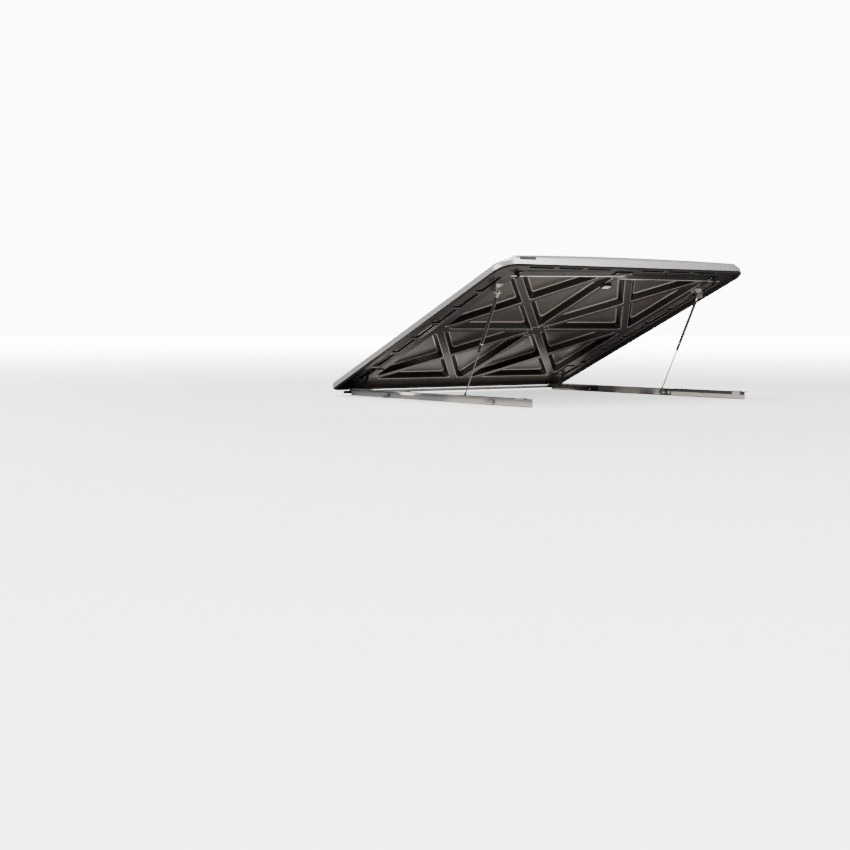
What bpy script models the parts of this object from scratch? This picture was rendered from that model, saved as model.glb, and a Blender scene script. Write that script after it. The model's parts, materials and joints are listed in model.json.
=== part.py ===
"""A one-piece hinged tonneau cover for a pickup bed, standing open on its two gas struts.

Frame: +X to the passenger side, +Y towards the cab, +Z up, in metres. The origin is the middle of the
front rail's underside. The lid is modelled in its own lid frame, whose origin is the middle of the
front edge at lip level: there y is minus the distance from the front edge and z the height above the
lip. An empty on the hinge axis turns that frame to the open angle.
"""

import math

import bmesh
import bpy
from mathutils import Matrix, Vector, geometry

# Driving dimensions of the lid
LID_WIDTH = 1.83
LID_LENGTH = 1.79
OPEN_ANGLE = math.radians(23.2)
REAR_CORNER = 0.10
FRONT_CORNER = 0.035
SKIN = 0.004
LEDGE_HEIGHT = 0.038
FIELD_RAISE = 0.0135
CROWN = 0.014
LEDGE_WIDTH = 0.074
STEP_RUN = 0.018
CROWN_RUN = 0.5

# Bed seat, rails and hinge axis
SEAT_Z = 0.030
RAIL_X = 0.800
RAIL_WALL = 0.004
RAIL_FLANGE = 0.035
RAIL_DROP = 0.040
RAIL_TOP = 0.003
RAIL_FRONT_Y = -0.045
RAIL_REAR_Y = -1.735
FRONT_RAIL_HEIGHT = 0.017
FRONT_RAIL_BACK_Y = -0.016
FRONT_RAIL_FRONT_Y = 0.015
HINGE_Y = -0.037
HINGE_Z = SEAT_Z - 0.004
HINGE_SETBACK = 0.035
LIP_Z = SEAT_Z + 0.010
PIN_RADIUS = 0.005
ARM_INNER = 0.776
ARM_OUTER = 0.782
ARM_FOOT_S = (0.200, 0.315)
BRACKET_PLATE = 0.004
BRACKET_REAR_Y = -0.500
GAP = 0.0003

# Clamps that hold the side rails to the bed
CLAMP_YS = (-0.430, -1.400)
CLAMP_Z = SEAT_Z - 0.024
BOLT_SHANK = 0.004
JAW_INNER = RAIL_X + 0.0065
JAW_OUTER = RAIL_X + 0.0225

# Underside structure
LINER_Z = 0.006
LINER_WALL = 0.003
LINER_FACE = LINER_Z - GAP
PAN_DEPTH = 0.036
PAN_SLOPE = 0.026
RIB_WIDTH = 0.042
TRUSS_X = 0.712
TRUSS_FRONT = 0.150
TRUSS_REAR = 1.640
TRUSS_SPREAD = 0.095
POCKET_DEPTH = 0.014
FOOT_INNER = 0.724
FOOT_PLATE = 0.003

# Gas struts: both pivots of each, tube and rod
STRUT_X = 0.755
UPPER_BALL_S = 1.508
UPPER_BALL_Z = -0.034
LOWER_BALL_Y = -1.1025
LOWER_BALL_Z = SEAT_Z - 0.018
EAR_INNER = 0.776
EAR_PLATE = 0.0035
STUD_HEAD = 0.0075
STUD_THREAD = 0.0040
NECK_RADIUS = 0.0034
TUBE_RADIUS = 0.009
TUBE_WALL = 0.0012
TUBE_START = 0.030
TUBE_END = 0.352
ROD_RADIUS = 0.004
SOCKET_RADIUS = 0.0095
SOCKET_HALF = 0.008
BALL_RADIUS = 0.0062

# Lock, handle and latch rods
LATCH_S = 1.683
DISH_DEPTH = 0.016
SHAFT_RADIUS = 0.008
KEY_RADIUS = 0.0065
ROTOR_PIN = 0.018
PIN_SMALL = 0.003
ROD_Z = -0.011
LATCH_ROD_RADIUS = 0.0032
BOLT_RADIUS = 0.005
BOLT_S = 1.668
BOLT_INNER = 0.690
BOLT_OUTER = 0.784
GUIDE_X = 0.738

# Lamp
LAMP_S = 1.545
LAMP_HALF_X = 0.030
LAMP_HALF_Y = 0.021
LAMP_HEIGHT = 0.014

SIDES = (("left", -1), ("right", 1))

PALETTE = {
    "silver_paint": ((0.56, 0.545, 0.525), 0.28, 0.55),
    "black_abs": ((0.028, 0.026, 0.025), 0.32, 0.0),
    "seal_rubber": ((0.016, 0.016, 0.016), 0.75, 0.0),
    "black_steel": ((0.02, 0.02, 0.02), 0.42, 0.4),
    "zinc_steel": ((0.62, 0.61, 0.59), 0.32, 1.0),
    "polished_rod": ((0.70, 0.70, 0.69), 0.15, 1.0),
    "nitrided_rod": ((0.10, 0.10, 0.105), 0.28, 0.9),
    "strut_black": ((0.022, 0.022, 0.023), 0.30, 0.2),
    "rail_aluminium": ((0.40, 0.39, 0.37), 0.45, 0.9),
    "black_plastic": ((0.02, 0.02, 0.021), 0.50, 0.0),
    "lamp_white": ((0.80, 0.79, 0.76), 0.35, 0.0),
}


def clear_scene():
    for obj in list(bpy.data.objects):
        bpy.data.objects.remove(obj)


def material(slot):
    """The Principled material of this slot, made once."""
    found = bpy.data.materials.get(slot)
    if found:
        return found
    colour, roughness, metallic = PALETTE[slot]
    made = bpy.data.materials.new(slot)
    made.use_nodes = True
    shader = made.node_tree.nodes["Principled BSDF"]
    shader.inputs["Base Color"].default_value = (*colour, 1.0)
    shader.inputs["Roughness"].default_value = roughness
    shader.inputs["Metallic"].default_value = metallic
    return made


def empty(name, location, turn_x=0.0, parent=None):
    made = bpy.data.objects.new(name, None)
    bpy.context.scene.collection.objects.link(made)
    made.location = location
    made.rotation_euler = (turn_x, 0.0, 0.0)
    made.parent = parent
    return made


def add_object(name, mesh, slot, parent=None):
    made = bpy.data.objects.new(name, mesh)
    bpy.context.scene.collection.objects.link(made)
    made.parent = parent
    if slot:
        mesh.materials.append(material(slot))
    return made


def from_bmesh(name, bm, slot, parent=None, smooth=True):
    bmesh.ops.recalc_face_normals(bm, faces=bm.faces)
    if bm.calc_volume(signed=True) < 0:
        bmesh.ops.reverse_faces(bm, faces=bm.faces)
    mesh = bpy.data.meshes.new(name)
    bm.to_mesh(mesh)
    bm.free()
    if smooth:
        mesh.shade_smooth()
        mesh.set_sharp_from_angle(angle=math.radians(35))
    return add_object(name, mesh, slot, parent)


def helper(obj):
    """Keeps a cutter or a joined piece out of the render and the build."""
    obj.hide_render = True
    obj.display_type = "WIRE"
    return obj


def combine(obj, other, operation):
    """Cuts other out of obj, or joins it on, and hides other."""
    helper(other)
    step = obj.modifiers.new(operation.lower() + "_" + other.name, "BOOLEAN")
    step.operation = operation
    step.object = other
    return obj


def box(name, low, high, slot=None, parent=None, bevel=0.0):
    bm = bmesh.new()
    bmesh.ops.create_cube(bm, size=1.0)
    size = Vector(high) - Vector(low)
    centre = (Vector(high) + Vector(low)) / 2
    for v in bm.verts:
        v.co = Vector((v.co.x * abs(size.x), v.co.y * abs(size.y), v.co.z * abs(size.z))) + centre
    made = from_bmesh(name, bm, slot, parent, smooth=False)
    if bevel:
        step = made.modifiers.new("bevel", "BEVEL")
        step.width = bevel
        step.segments = 2
    return made


def side_box(name, side, x_in, x_out, low_yz, high_yz, slot=None, parent=None, bevel=0.0):
    """A box between two distances from the centre plane, on one side of it."""
    xs = sorted((side * x_in, side * x_out))
    return box(name, (xs[0], *low_yz), (xs[1], *high_yz), slot, parent, bevel)


def prism(name, outline, start, end, axis, slot=None, parent=None):
    """Extrudes a closed outline from start to end along an axis; the outline lies in the other two."""
    keep = [k for k in range(3) if k != "xyz".index(axis)]
    bm = bmesh.new()
    rings = []
    for level in (start, end):
        ring = []
        for a, b in outline:
            co = [0.0, 0.0, 0.0]
            co["xyz".index(axis)] = level
            co[keep[0]] = a
            co[keep[1]] = b
            ring.append(bm.verts.new(co))
        rings.append(ring)
    count = len(outline)
    for i in range(count):
        j = (i + 1) % count
        bm.faces.new((rings[0][i], rings[0][j], rings[1][j], rings[1][i]))
    bm.faces.new(rings[0])
    bm.faces.new(rings[1])
    return from_bmesh(name, bm, slot, parent, smooth=False)


def turned(name, profile, slot=None, parent=None, place=None, segments=20):
    """Turns a closed profile of (radius, height) points about Z, then moves it by place."""
    bm = bmesh.new()
    rings = []
    for radius, height in profile:
        if radius < 1e-9:
            rings.append([bm.verts.new((0.0, 0.0, height))])
            continue
        ring = []
        for k in range(segments):
            turn = 2 * math.pi * k / segments
            ring.append(bm.verts.new((radius * math.cos(turn), radius * math.sin(turn), height)))
        rings.append(ring)
    for i, low in enumerate(rings):
        high = rings[(i + 1) % len(rings)]
        if len(low) == len(high) == 1:
            continue
        for k in range(segments):
            m = (k + 1) % segments
            corners = [low[k % len(low)], low[m % len(low)], high[m % len(high)], high[k % len(high)]]
            unique = list(dict.fromkeys(corners))
            bm.faces.new(unique)
    if place is not None:
        bmesh.ops.transform(bm, matrix=place, verts=bm.verts)
    return from_bmesh(name, bm, slot, parent)


def along(start, direction):
    """The matrix that carries +Z at the origin to this direction at start."""
    turn = Vector(direction).to_track_quat("Z", "Y").to_matrix().to_4x4()
    return Matrix.Translation(start) @ turn


def rod_between(name, start, end, radius, slot=None, parent=None, segments=12):
    span = Vector(end) - Vector(start)
    profile = [(0.0, 0.0), (radius, 0.0), (radius, span.length), (0.0, span.length)]
    return turned(name, profile, slot, parent, along(start, span), segments)


def drill(obj, centre, direction, radius, depth, segments=16):
    """Cuts a round hole through centre."""
    step = Vector(direction).normalized() * (depth / 2)
    centre = Vector(centre)
    name = f"cut_{obj.name}_{len(obj.modifiers)}"
    cutter = rod_between(name, centre - step, centre + step, radius, None, obj.parent, segments)
    return combine(obj, cutter, "DIFFERENCE")


# --- Lid skin -------------------------------------------------------------------------------------


def ramp(value, low, high):
    t = min(1.0, max(0.0, (value - low) / (high - low)))
    return t * t * (3 - 2 * t)


def skin_height(x, s):
    """Height of the painted top above the lip at x and at s from the front edge."""
    half = LID_WIDTH / 2
    side = ramp(half - abs(x), LEDGE_WIDTH, LEDGE_WIDTH + STEP_RUN)
    front = ramp(s, LEDGE_WIDTH, LEDGE_WIDTH + STEP_RUN)
    arch = 1 - (x / half) ** 2
    return LEDGE_HEIGHT + FIELD_RAISE * side * front + CROWN * arch * ramp(s, 0.0, CROWN_RUN)


def arc(centre, radius, start, steps):
    """A quarter turn of points, counterclockwise from the start angle in degrees."""
    points = []
    for k in range(steps + 1):
        turn = math.radians(start + 90 * k / steps)
        points.append((centre[0] + radius * math.cos(turn), centre[1] + radius * math.sin(turn)))
    return points


def lid_ring(inset_side, inset_rear, across=8, down=5, corner_steps=6):
    """A closed plan outline of the lid, moved in by the insets, counterclockwise from above."""
    half = LID_WIDTH / 2 - inset_side
    front, rear = -inset_side, -LID_LENGTH + inset_rear
    big = max(REAR_CORNER - inset_side, 0.012)
    small = max(FRONT_CORNER - inset_side, 0.008)
    corners = (
        (arc((half - small, front - small), small, 0, corner_steps), across),
        (arc((-half + small, front - small), small, 90, corner_steps), down),
        (arc((-half + big, rear + big), big, 180, corner_steps), across),
        (arc((half - big, rear + big), big, 270, corner_steps), down),
    )
    points = []
    for i, (bend, runs) in enumerate(corners):
        points += bend
        end = Vector(bend[-1])
        following = Vector(corners[(i + 1) % 4][0][0])
        points += [tuple(end.lerp(following, k / runs)) for k in range(1, runs)]
    return points


def outer_shell(lid):
    """The painted skin: skirt, rounded edge, ledge, step and crowned field, as one open-bottomed shell."""
    # Each ring's inset at the sides and front, its inset at the rear, and its share of the full height.
    steps = (
        (0.0, 0.0, 0.0),
        (0.0015, 0.0015, 0.62),
        (0.005, 0.005, 0.87),
        (0.012, 0.012, 0.97),
        (0.024, 0.024, 1.0),
        (LEDGE_WIDTH, 0.040, 1.0),
        (LEDGE_WIDTH + STEP_RUN, 0.056, 1.0),
        (0.22, 0.20, 1.0),
        (0.42, 0.42, 1.0),
        (0.66, 0.66, 1.0),
    )
    bm = bmesh.new()
    rings = []
    for inset_side, inset_rear, share in steps:
        ring = []
        for x, y in lid_ring(inset_side, inset_rear):
            ring.append(bm.verts.new((x, y, share * skin_height(x, -y))))
        rings.append(ring)
    count = len(rings[0])
    for low, high in zip(rings, rings[1:]):
        for i in range(count):
            j = (i + 1) % count
            bm.faces.new((low[i], low[j], high[j], high[i]))
    middle = bm.verts.new((0.0, -LID_LENGTH / 2, skin_height(0.0, LID_LENGTH / 2)))
    for i in range(count):
        bm.faces.new((rings[-1][i], rings[-1][(i + 1) % count], middle))
    shell = from_bmesh("outer_shell", bm, "silver_paint", lid)
    wall = shell.modifiers.new("wall", "SOLIDIFY")
    wall.thickness = SKIN
    wall.offset = -1.0
    wall.use_even_offset = True
    drill(shell, (0.0, -LATCH_S, 0.055), (0, 0, 1), 0.0425, 0.06, 32)
    return shell


# --- Underside liner ------------------------------------------------------------------------------


def line_side(point, a, b):
    return (b[0] - a[0]) * (point[1] - a[1]) - (b[1] - a[1]) * (point[0] - a[0])


def signed_area(points):
    total = 0.0
    for a, b in zip(points, points[1:] + points[:1]):
        total += a[0] * b[1] - b[0] * a[1]
    return total / 2


def inset(points, amount):
    """Moves every edge of a convex counterclockwise outline inwards by its amount."""
    amounts = amount if isinstance(amount, (list, tuple)) else [amount] * len(points)
    edges = []
    for i, a in enumerate(points):
        a, b = Vector(a), Vector(points[(i + 1) % len(points)])
        along_edge = (b - a).normalized()
        inward = Vector((-along_edge.y, along_edge.x))
        edges.append((a + inward * amounts[i], along_edge))
    moved = []
    for i, (point, way) in enumerate(edges):
        before, way_before = edges[i - 1]
        meet = geometry.intersect_line_line_2d(
            before - way_before * 9, before + way_before * 9, point - way * 9, point + way * 9
        )
        moved.append(tuple(meet))
    return moved


def rounded(points, radius, steps=2):
    """Rounds the corners of a convex counterclockwise outline, with the same count for any radius."""
    made = []
    count = len(points)
    for i in range(count):
        before, corner, after = Vector(points[i - 1]), Vector(points[i]), Vector(points[(i + 1) % count])
        to_before, to_after = (before - corner).normalized(), (after - corner).normalized()
        half_angle = to_before.angle(to_after) / 2
        reach = min(radius / math.tan(half_angle), 0.45 * (before - corner).length,
                    0.45 * (after - corner).length)
        start, end = corner + to_before * reach, corner + to_after * reach
        for k in range(steps + 1):
            t = k / steps
            made.append(tuple((1 - t) ** 2 * start + 2 * t * (1 - t) * corner + t * t * end))
    return made


def truss_panels():
    """The sixteen triangles between the ribs: each quadrant of the lid crossed by two diagonals."""
    middle = (TRUSS_FRONT + TRUSS_REAR) / 2
    half = RIB_WIDTH / 2
    panels = []
    for end in (TRUSS_FRONT, TRUSS_REAR):
        for side in (-1, 1):
            hub = Vector((0.0, -middle))
            corner = Vector((side * TRUSS_X, -end))
            side_end = Vector((side * TRUSS_X, -middle))
            end_start = Vector((side * TRUSS_SPREAD, -end))
            end_middle = Vector((0.0, -end))
            cross = geometry.intersect_line_line_2d(hub, corner, end_start, side_end)
            # Each edge carries its own inset: half a rib inside the truss, nothing on the border.
            outlines = (
                ([cross, end_start, corner], [half, 0.0, half]),
                ([cross, corner, side_end], [half, 0.0, half]),
                ([cross, side_end, hub], [half, half, half]),
                ([hub, end_middle, end_start, cross], [half, 0.0, half, half]),
            )
            for outline, insets in outlines:
                outline = [tuple(p) for p in outline]
                if signed_area(outline) < 0:
                    outline = outline[::-1]
                    insets = insets[:-1][::-1] + insets[-1:]
                panels.append(inset(outline, insets))
    return panels


def edge_pockets():
    """The rectangular pockets along the side and rear borders."""
    pockets = []
    bottom, top, count = 0.13, 1.62, 7
    pitch = (top - bottom) / count
    for side in (-1, 1):
        inner, outer = side * 0.786, side * 0.842
        for k in range(count):
            low, high = bottom + k * pitch + 0.012, bottom + (k + 1) * pitch - 0.012
            pockets.append(((min(inner, outer), -high), (max(inner, outer), -low)))
    for side in (-1, 1):
        for k in range(3):
            start, end = side * (0.115 + k * 0.205), side * (0.115 + k * 0.205 + 0.175)
            pockets.append(((min(start, end), -1.752), (max(start, end), -1.722)))
    return [[(a[0], a[1]), (b[0], a[1]), (b[0], b[1]), (a[0], b[1])] for a, b in pockets]


def liner_pans():
    """Every recess of the liner, as its outlines from the rib face to the floor with their heights."""
    pans = []
    for outline in truss_panels():
        pans.append((
            (rounded(outline, 0.016), 0.0),
            (rounded(inset(outline, PAN_SLOPE), 0.020), PAN_DEPTH),
        ))
    for outline in edge_pockets():
        pans.append((
            (rounded(outline, 0.006, 1), 0.0),
            (rounded(inset(outline, 0.005), 0.005, 1), POCKET_DEPTH),
        ))
    return pans


def inside(point, outline):
    return all(line_side(point, a, b) > 0 for a, b in zip(outline, outline[1:] + outline[:1]))


def triangles_between(boundary, holes):
    """Triangles of the flat sheet inside the boundary and outside the holes, with their points."""
    points = [Vector(p) for p in boundary]
    edges = [(i, (i + 1) % len(boundary)) for i in range(len(boundary))]
    for hole in holes:
        start = len(points)
        points += [Vector(p) for p in hole]
        edges += [(start + i, start + (i + 1) % len(hole)) for i in range(len(hole))]
    made, _, faces, *_ = geometry.delaunay_2d_cdt(points, edges, [], 0, 1e-7)
    kept = []
    for face in faces:
        centre = sum((made[i] for i in face), Vector((0.0, 0.0))) / 3
        if inside(centre, boundary) and not any(inside(centre, hole) for hole in holes):
            kept.append(tuple(face))
    return [tuple(p) for p in made], kept


def inner_liner(lid):
    """The formed black liner: a sheet at rib level with sloping-sided pans pressed up between the ribs."""
    boundary = lid_ring(0.0068, 0.0068, across=4, down=4, corner_steps=5)
    pans = liner_pans()
    flat_points, flat_faces = triangles_between(boundary, [pan[0][0] for pan in pans])
    surface = {}
    faces = []

    def index(x, y, z):
        return surface.setdefault((round(x, 6), round(y, 6), round(z, 6)), len(surface))

    for face in flat_faces:
        faces.append([index(*flat_points[i], 0.0) for i in face])
    for pan in pans:
        for (low, low_z), (high, high_z) in zip(pan, pan[1:]):
            for i in range(len(low)):
                j = (i + 1) % len(low)
                faces.append([index(*low[i], low_z), index(*low[j], low_z),
                              index(*high[j], high_z), index(*high[i], high_z)])
        floor, floor_z = pan[-1]
        faces.append([index(*p, floor_z) for p in floor])
    bm = bmesh.new()
    for wall in (0.0, LINER_WALL):
        verts = [bm.verts.new((x, y, LINER_Z + z + wall)) for x, y, z in surface]
        for face in faces:
            bm.faces.new([verts[i] for i in face])
    bm.verts.ensure_lookup_table()
    rim = [index(*p, 0.0) for p in boundary]
    for a, b in zip(rim, rim[1:] + rim[:1]):
        bm.faces.new([bm.verts[i] for i in (a, b, len(surface) + b, len(surface) + a)])
    liner = from_bmesh("inner_liner", bm, "black_abs", lid)
    return drill(liner, (0.0, -LATCH_S, LINER_Z), (0, 0, 1), 0.012, 0.03, 16)


def edge_seal(lid):
    """A D-section rubber bulb that runs round the lip and lands on the bed's rails."""
    # Each corner of the section: its inset from the lid's outline and its height from the liner.
    section = ((0.0078, -GAP), (0.0196, -GAP), (0.0205, -0.007), (0.0180, -0.0135),
               (0.0140, -0.0155), (0.0100, -0.0135), (0.0075, -0.007))
    bm = bmesh.new()
    rings = []
    for inset_by, drop in section:
        outline = lid_ring(inset_by, inset_by, across=1, down=1, corner_steps=5)
        rings.append([bm.verts.new((x, y, LINER_Z + drop)) for x, y in outline])
    count = len(rings[0])
    for k, ring in enumerate(rings):
        other = rings[(k + 1) % len(rings)]
        for i in range(count):
            j = (i + 1) % count
            bm.faces.new((ring[i], ring[j], other[j], other[i]))
    return from_bmesh("edge_seal", bm, "seal_rubber", lid)


def name_plate(lid):
    """A blank plate on the rear face, towards the left corner."""
    rear = -LID_LENGTH - 0.0002
    low_z, high_z = 0.024, 0.040
    left, right = -0.800, -0.692
    low, high = (left, rear - 0.0023, low_z), (right, rear, high_z)
    return box("name_plate", low, high, "black_plastic", lid, 0.0006)


# --- Lock and latch -------------------------------------------------------------------------------


def lock_bezel(lid, top, floor):
    """The dished ring let into the painted skin, in which the handle turns."""
    bore, lip, under = 0.0095, 0.052, 0.003
    profile = [(bore, floor), (bore, floor - under), (0.0415, floor - under), (0.0415, top),
               (lip, top), (lip - 0.002, top + 0.003), (0.039, top + 0.003), (0.038, floor)]
    turned("lock_bezel", profile, "black_plastic", lid, Matrix.Translation((0.0, -LATCH_S, 0.0)), 28)


def lock_housing(lid):
    """The plate under the liner that carries the handle's shaft."""
    half_x, half_y, low = 0.062, 0.034, -0.0015
    corner, opposite = (-half_x, -LATCH_S - half_y, low), (half_x, -LATCH_S + half_y, LINER_FACE)
    housing = box("lock_housing", corner, opposite, "black_steel", lid, 0.002)
    drill(housing, (0.0, -LATCH_S, 0.0), (0, 0, 1), SHAFT_RADIUS + 0.0015, 0.04)


def turn_handle(handle_axis, top, floor):
    """The grip in the dish, with the shaft that runs down through the lid."""
    half_x, half_y = 0.034, 0.0105
    shaft_low, shaft_top = -0.0015, floor + 0.004
    profile = [(0.0, shaft_low), (SHAFT_RADIUS, shaft_low), (SHAFT_RADIUS, shaft_top), (0.0, shaft_top)]
    shaft = turned("handle_shaft", profile, None, handle_axis)
    grip = box("turn_handle", (-half_x, -half_y, floor + 0.002), (half_x, half_y, top + 0.0025),
               "black_plastic", handle_axis, 0.003)
    combine(grip, shaft, "UNION")
    drill(grip, (0.0, 0.0, top), (0, 0, 1), KEY_RADIUS + GAP, 0.016, 20)


def latch_rotor(handle_axis):
    """The disc on the shaft's lower end. Its two pins stand down into the rods' eyes."""
    low, top, radius = -0.0058, -0.0018, 0.026
    profile = [(0.0, low), (radius, low), (radius, top), (0.0, top)]
    rotor = turned("latch_rotor", profile, "zinc_steel", handle_axis, None, 28)
    for y, name in ((ROTOR_PIN, "front_pin"), (-ROTOR_PIN, "rear_pin")):
        pin_top, pin_end = (0.0, y, low + 0.002), (0.0, y, ROD_Z - 0.006)
        pin = rod_between(name, pin_top, pin_end, PIN_SMALL, None, handle_axis)
        combine(rotor, pin, "UNION")


def lock_cylinder(key_axis, top):
    """The keyed core in the middle of the handle."""
    low, rise, chamfer = top - 0.0075, 0.0036, 0.0007
    profile = [(0.0, low), (KEY_RADIUS, low), (KEY_RADIUS, top + rise - chamfer),
               (KEY_RADIUS - chamfer, top + rise), (0.0, top + rise)]
    cylinder = turned("lock_cylinder", profile, "zinc_steel", key_axis)
    slot_x, slot_y = 0.0008, 0.0035
    slot = box("key_slot", (-slot_x, -slot_y, top - 0.001), (slot_x, slot_y, top + 0.01), None, key_axis)
    combine(cylinder, slot, "DIFFERENCE")


def latch_rod(word, side, slide_axis):
    """A rod from the rotor's pin to the bolt. Its slotted eye lets the pin swing past the rod's line."""
    pin_y = BOLT_S - LATCH_S + side * ROTOR_PIN
    eye_x, eye_y, slot_x, slot_y, thick = 0.008, 0.0095, 0.0045, 0.0055, 0.002
    drift = -side * 0.0022
    inner_end, outer_end = (side * eye_x, pin_y, 0.0), (side * (BOLT_INNER - GAP), 0.0, 0.0)
    rod = rod_between(f"{word}_latch_rod", inner_end, outer_end, LATCH_ROD_RADIUS,
                      "polished_rod", slide_axis)
    corner, opposite = (-eye_x, pin_y - eye_y, -thick), (eye_x, pin_y + eye_y, thick)
    eye = box(f"{word}_eye", corner, opposite, None, slide_axis)
    slot = box(f"{word}_eye_slot", (-slot_x, pin_y - slot_y + drift, -0.01),
               (slot_x, pin_y + slot_y + drift, 0.01), None, slide_axis)
    combine(rod, eye, "UNION")
    combine(rod, slot, "DIFFERENCE")


def latch_bolt(word, side, slide_axis):
    """The round bolt on the rod's outer end, tapered where it enters the striker."""
    span, taper = BOLT_OUTER - BOLT_INNER, 0.003
    profile = [(0.0, 0.0), (BOLT_RADIUS - 0.001, 0.0), (BOLT_RADIUS, taper),
               (BOLT_RADIUS, span - taper), (BOLT_RADIUS - 0.0015, span), (0.0, span)]
    turned(f"{word}_latch_bolt", profile, "zinc_steel", slide_axis,
           along((side * BOLT_INNER, 0.0, 0.0), (side, 0.0, 0.0)), 16)


def rod_guide(word, side, lid):
    """A folded bracket that carries the bolt through its upright."""
    half_s, half_wall, foot = 0.016, 0.002, 0.030
    front, rear = -BOLT_S + half_s, -BOLT_S - half_s
    upright = side_box(f"{word}_rod_guide", side, GUIDE_X - half_wall, GUIDE_X + half_wall,
                       (rear, ROD_Z - 0.012), (front, LINER_FACE), "black_steel", lid)
    plate = side_box(f"{word}_guide_foot", side, GUIDE_X - foot, GUIDE_X + 0.001,
                     (rear, LINER_FACE - FOOT_PLATE), (front, LINER_FACE), None, lid)
    combine(upright, plate, "UNION")
    drill(upright, (side * GUIDE_X, -BOLT_S, ROD_Z), (1, 0, 0), BOLT_RADIUS + 0.0004, 0.02)


def lamp(lid, lamp_axis):
    """A battery lamp on the middle rib. Its lens is the push switch."""
    bottom = LINER_FACE - LAMP_HEIGHT
    lens_x, lens_y, clear = 0.023, 0.014, 0.0005
    case = box("lamp_case", (-LAMP_HALF_X, -LAMP_S - LAMP_HALF_Y, bottom),
               (LAMP_HALF_X, -LAMP_S + LAMP_HALF_Y, LINER_FACE), "black_plastic", lid, 0.003)
    well = box("lamp_well", (-lens_x - clear, -LAMP_S - lens_y - clear, bottom - 0.01),
               (lens_x + clear, -LAMP_S + lens_y + clear, bottom + 0.006), None, lid)
    combine(case, well, "DIFFERENCE")
    box("lamp_lens", (-lens_x, -lens_y, -0.002), (lens_x, lens_y, 0.0035), "lamp_white", lamp_axis, 0.0015)


# --- Hinges ---------------------------------------------------------------------------------------


def hinge_arm(word, side, lid):
    """The gooseneck: a bent plate from the pin, down round the seal and up to its foot on the liner."""
    pivot_s, pivot_z = HINGE_SETBACK, HINGE_Z - LIP_Z
    eye_radius = 0.0125
    # Points (distance from the front edge, height above the lip) and the plate's width at each.
    centre_line = ((pivot_s, pivot_z), (0.062, -0.034), (0.105, -0.050), (0.150, -0.044), (0.185, -0.018),
                   (0.215, -0.001))
    width = (0.022, 0.023, 0.024, 0.024, 0.022, 0.012)
    above, below = [], []
    for i, (s, z) in enumerate(centre_line):
        before = Vector(centre_line[max(i - 1, 0)])
        after = Vector(centre_line[min(i + 1, len(centre_line) - 1)])
        way = (after - before).normalized()
        across = Vector((-way.y, way.x)) * (width[i] / 2)
        above.append((-(s + across.x), z + across.y))
        below.append((-(s - across.x), z - across.y))
    xs = sorted((side * (ARM_INNER + 0.0006), side * (ARM_OUTER - 0.0006)))
    arm = prism(f"{word}_hinge_arm", above + below[::-1], xs[0], xs[1], "x", "black_steel", lid)
    eye = rod_between(f"{word}_arm_eye", (side * ARM_INNER, -pivot_s, pivot_z),
                      (side * ARM_OUTER, -pivot_s, pivot_z), eye_radius, None, lid, 20)
    foot = side_box(f"{word}_arm_foot", side, FOOT_INNER, ARM_OUTER - 0.0012,
                    (-ARM_FOOT_S[1], LINER_FACE - 0.005), (-ARM_FOOT_S[0], LINER_FACE), None, lid)
    combine(arm, eye, "UNION")
    combine(arm, foot, "UNION")
    drill(arm, (side * ARM_OUTER, -pivot_s, pivot_z), (1, 0, 0), PIN_RADIUS + GAP, 0.03, 20)


def hinge_bracket(word, side):
    """The long black plate on the rail's web, with a thick lug at its front end for the pin."""
    low, high = SEAT_Z - 0.030, SEAT_Z - 0.006
    front = FRONT_RAIL_BACK_Y - GAP
    lug_radius, corner = 0.0125, 0.006
    outline = ((BRACKET_REAR_Y, low), (BRACKET_REAR_Y, high), (-0.110, high), (-0.075, HINGE_Z + corner),
               (HINGE_Y - 0.008, HINGE_Z + lug_radius), (HINGE_Y + corner, HINGE_Z + lug_radius),
               (HINGE_Y + lug_radius, HINGE_Z + corner), (front, HINGE_Z - 0.013), (front, low))
    outer = RAIL_X - RAIL_WALL - GAP
    inner = outer - BRACKET_PLATE
    xs = sorted((side * inner, side * outer))
    bracket = prism(f"{word}_hinge_bracket", outline, xs[0], xs[1], "x", "black_steel")
    lug = rod_between(f"{word}_lug", (side * (ARM_OUTER + 0.0005), HINGE_Y, HINGE_Z),
                      (side * (inner + 0.002), HINGE_Y, HINGE_Z), lug_radius - 0.0005, None, None, 20)
    combine(bracket, lug, "UNION")
    drill(bracket, (side * inner, HINGE_Y, HINGE_Z), (1, 0, 0), PIN_RADIUS + GAP, 0.05, 20)
    drill(bracket, (side * inner, CLAMP_YS[0], CLAMP_Z), (1, 0, 0), BOLT_SHANK + GAP, 0.04, 12)


def hinge_pin(word, side):
    """A headed pin through the arm's eye and the bracket's lug."""
    head_radius, head_length = 0.0085, 0.0095
    start, end = ARM_INNER - 0.0005, RAIL_X - RAIL_WALL - 0.001
    head = start - head_length
    profile = [(0.0, head), (head_radius - 0.0015, head), (head_radius, head + 0.0015),
               (head_radius, start), (PIN_RADIUS, start), (PIN_RADIUS, end), (0.0, end)]
    turned(f"{word}_hinge_pin", profile, "zinc_steel", None,
           along((0.0, HINGE_Y, HINGE_Z), (side, 0.0, 0.0)), 20)


# --- Rails, clamps and strikers -------------------------------------------------------------------


def front_rail():
    """An open channel along the bulkhead, which the two hinge brackets meet from behind."""
    back, front, height, wall = FRONT_RAIL_BACK_Y, FRONT_RAIL_FRONT_Y, FRONT_RAIL_HEIGHT, 0.003
    outline = ((front, 0.0), (front, wall), (back + wall, wall), (back + wall, height - wall),
               (front, height - wall), (front, height), (back, height), (back, 0.0))
    half = RAIL_X + RAIL_FLANGE
    prism("front_rail", outline, -half, half, "x", "rail_aluminium")


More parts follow.
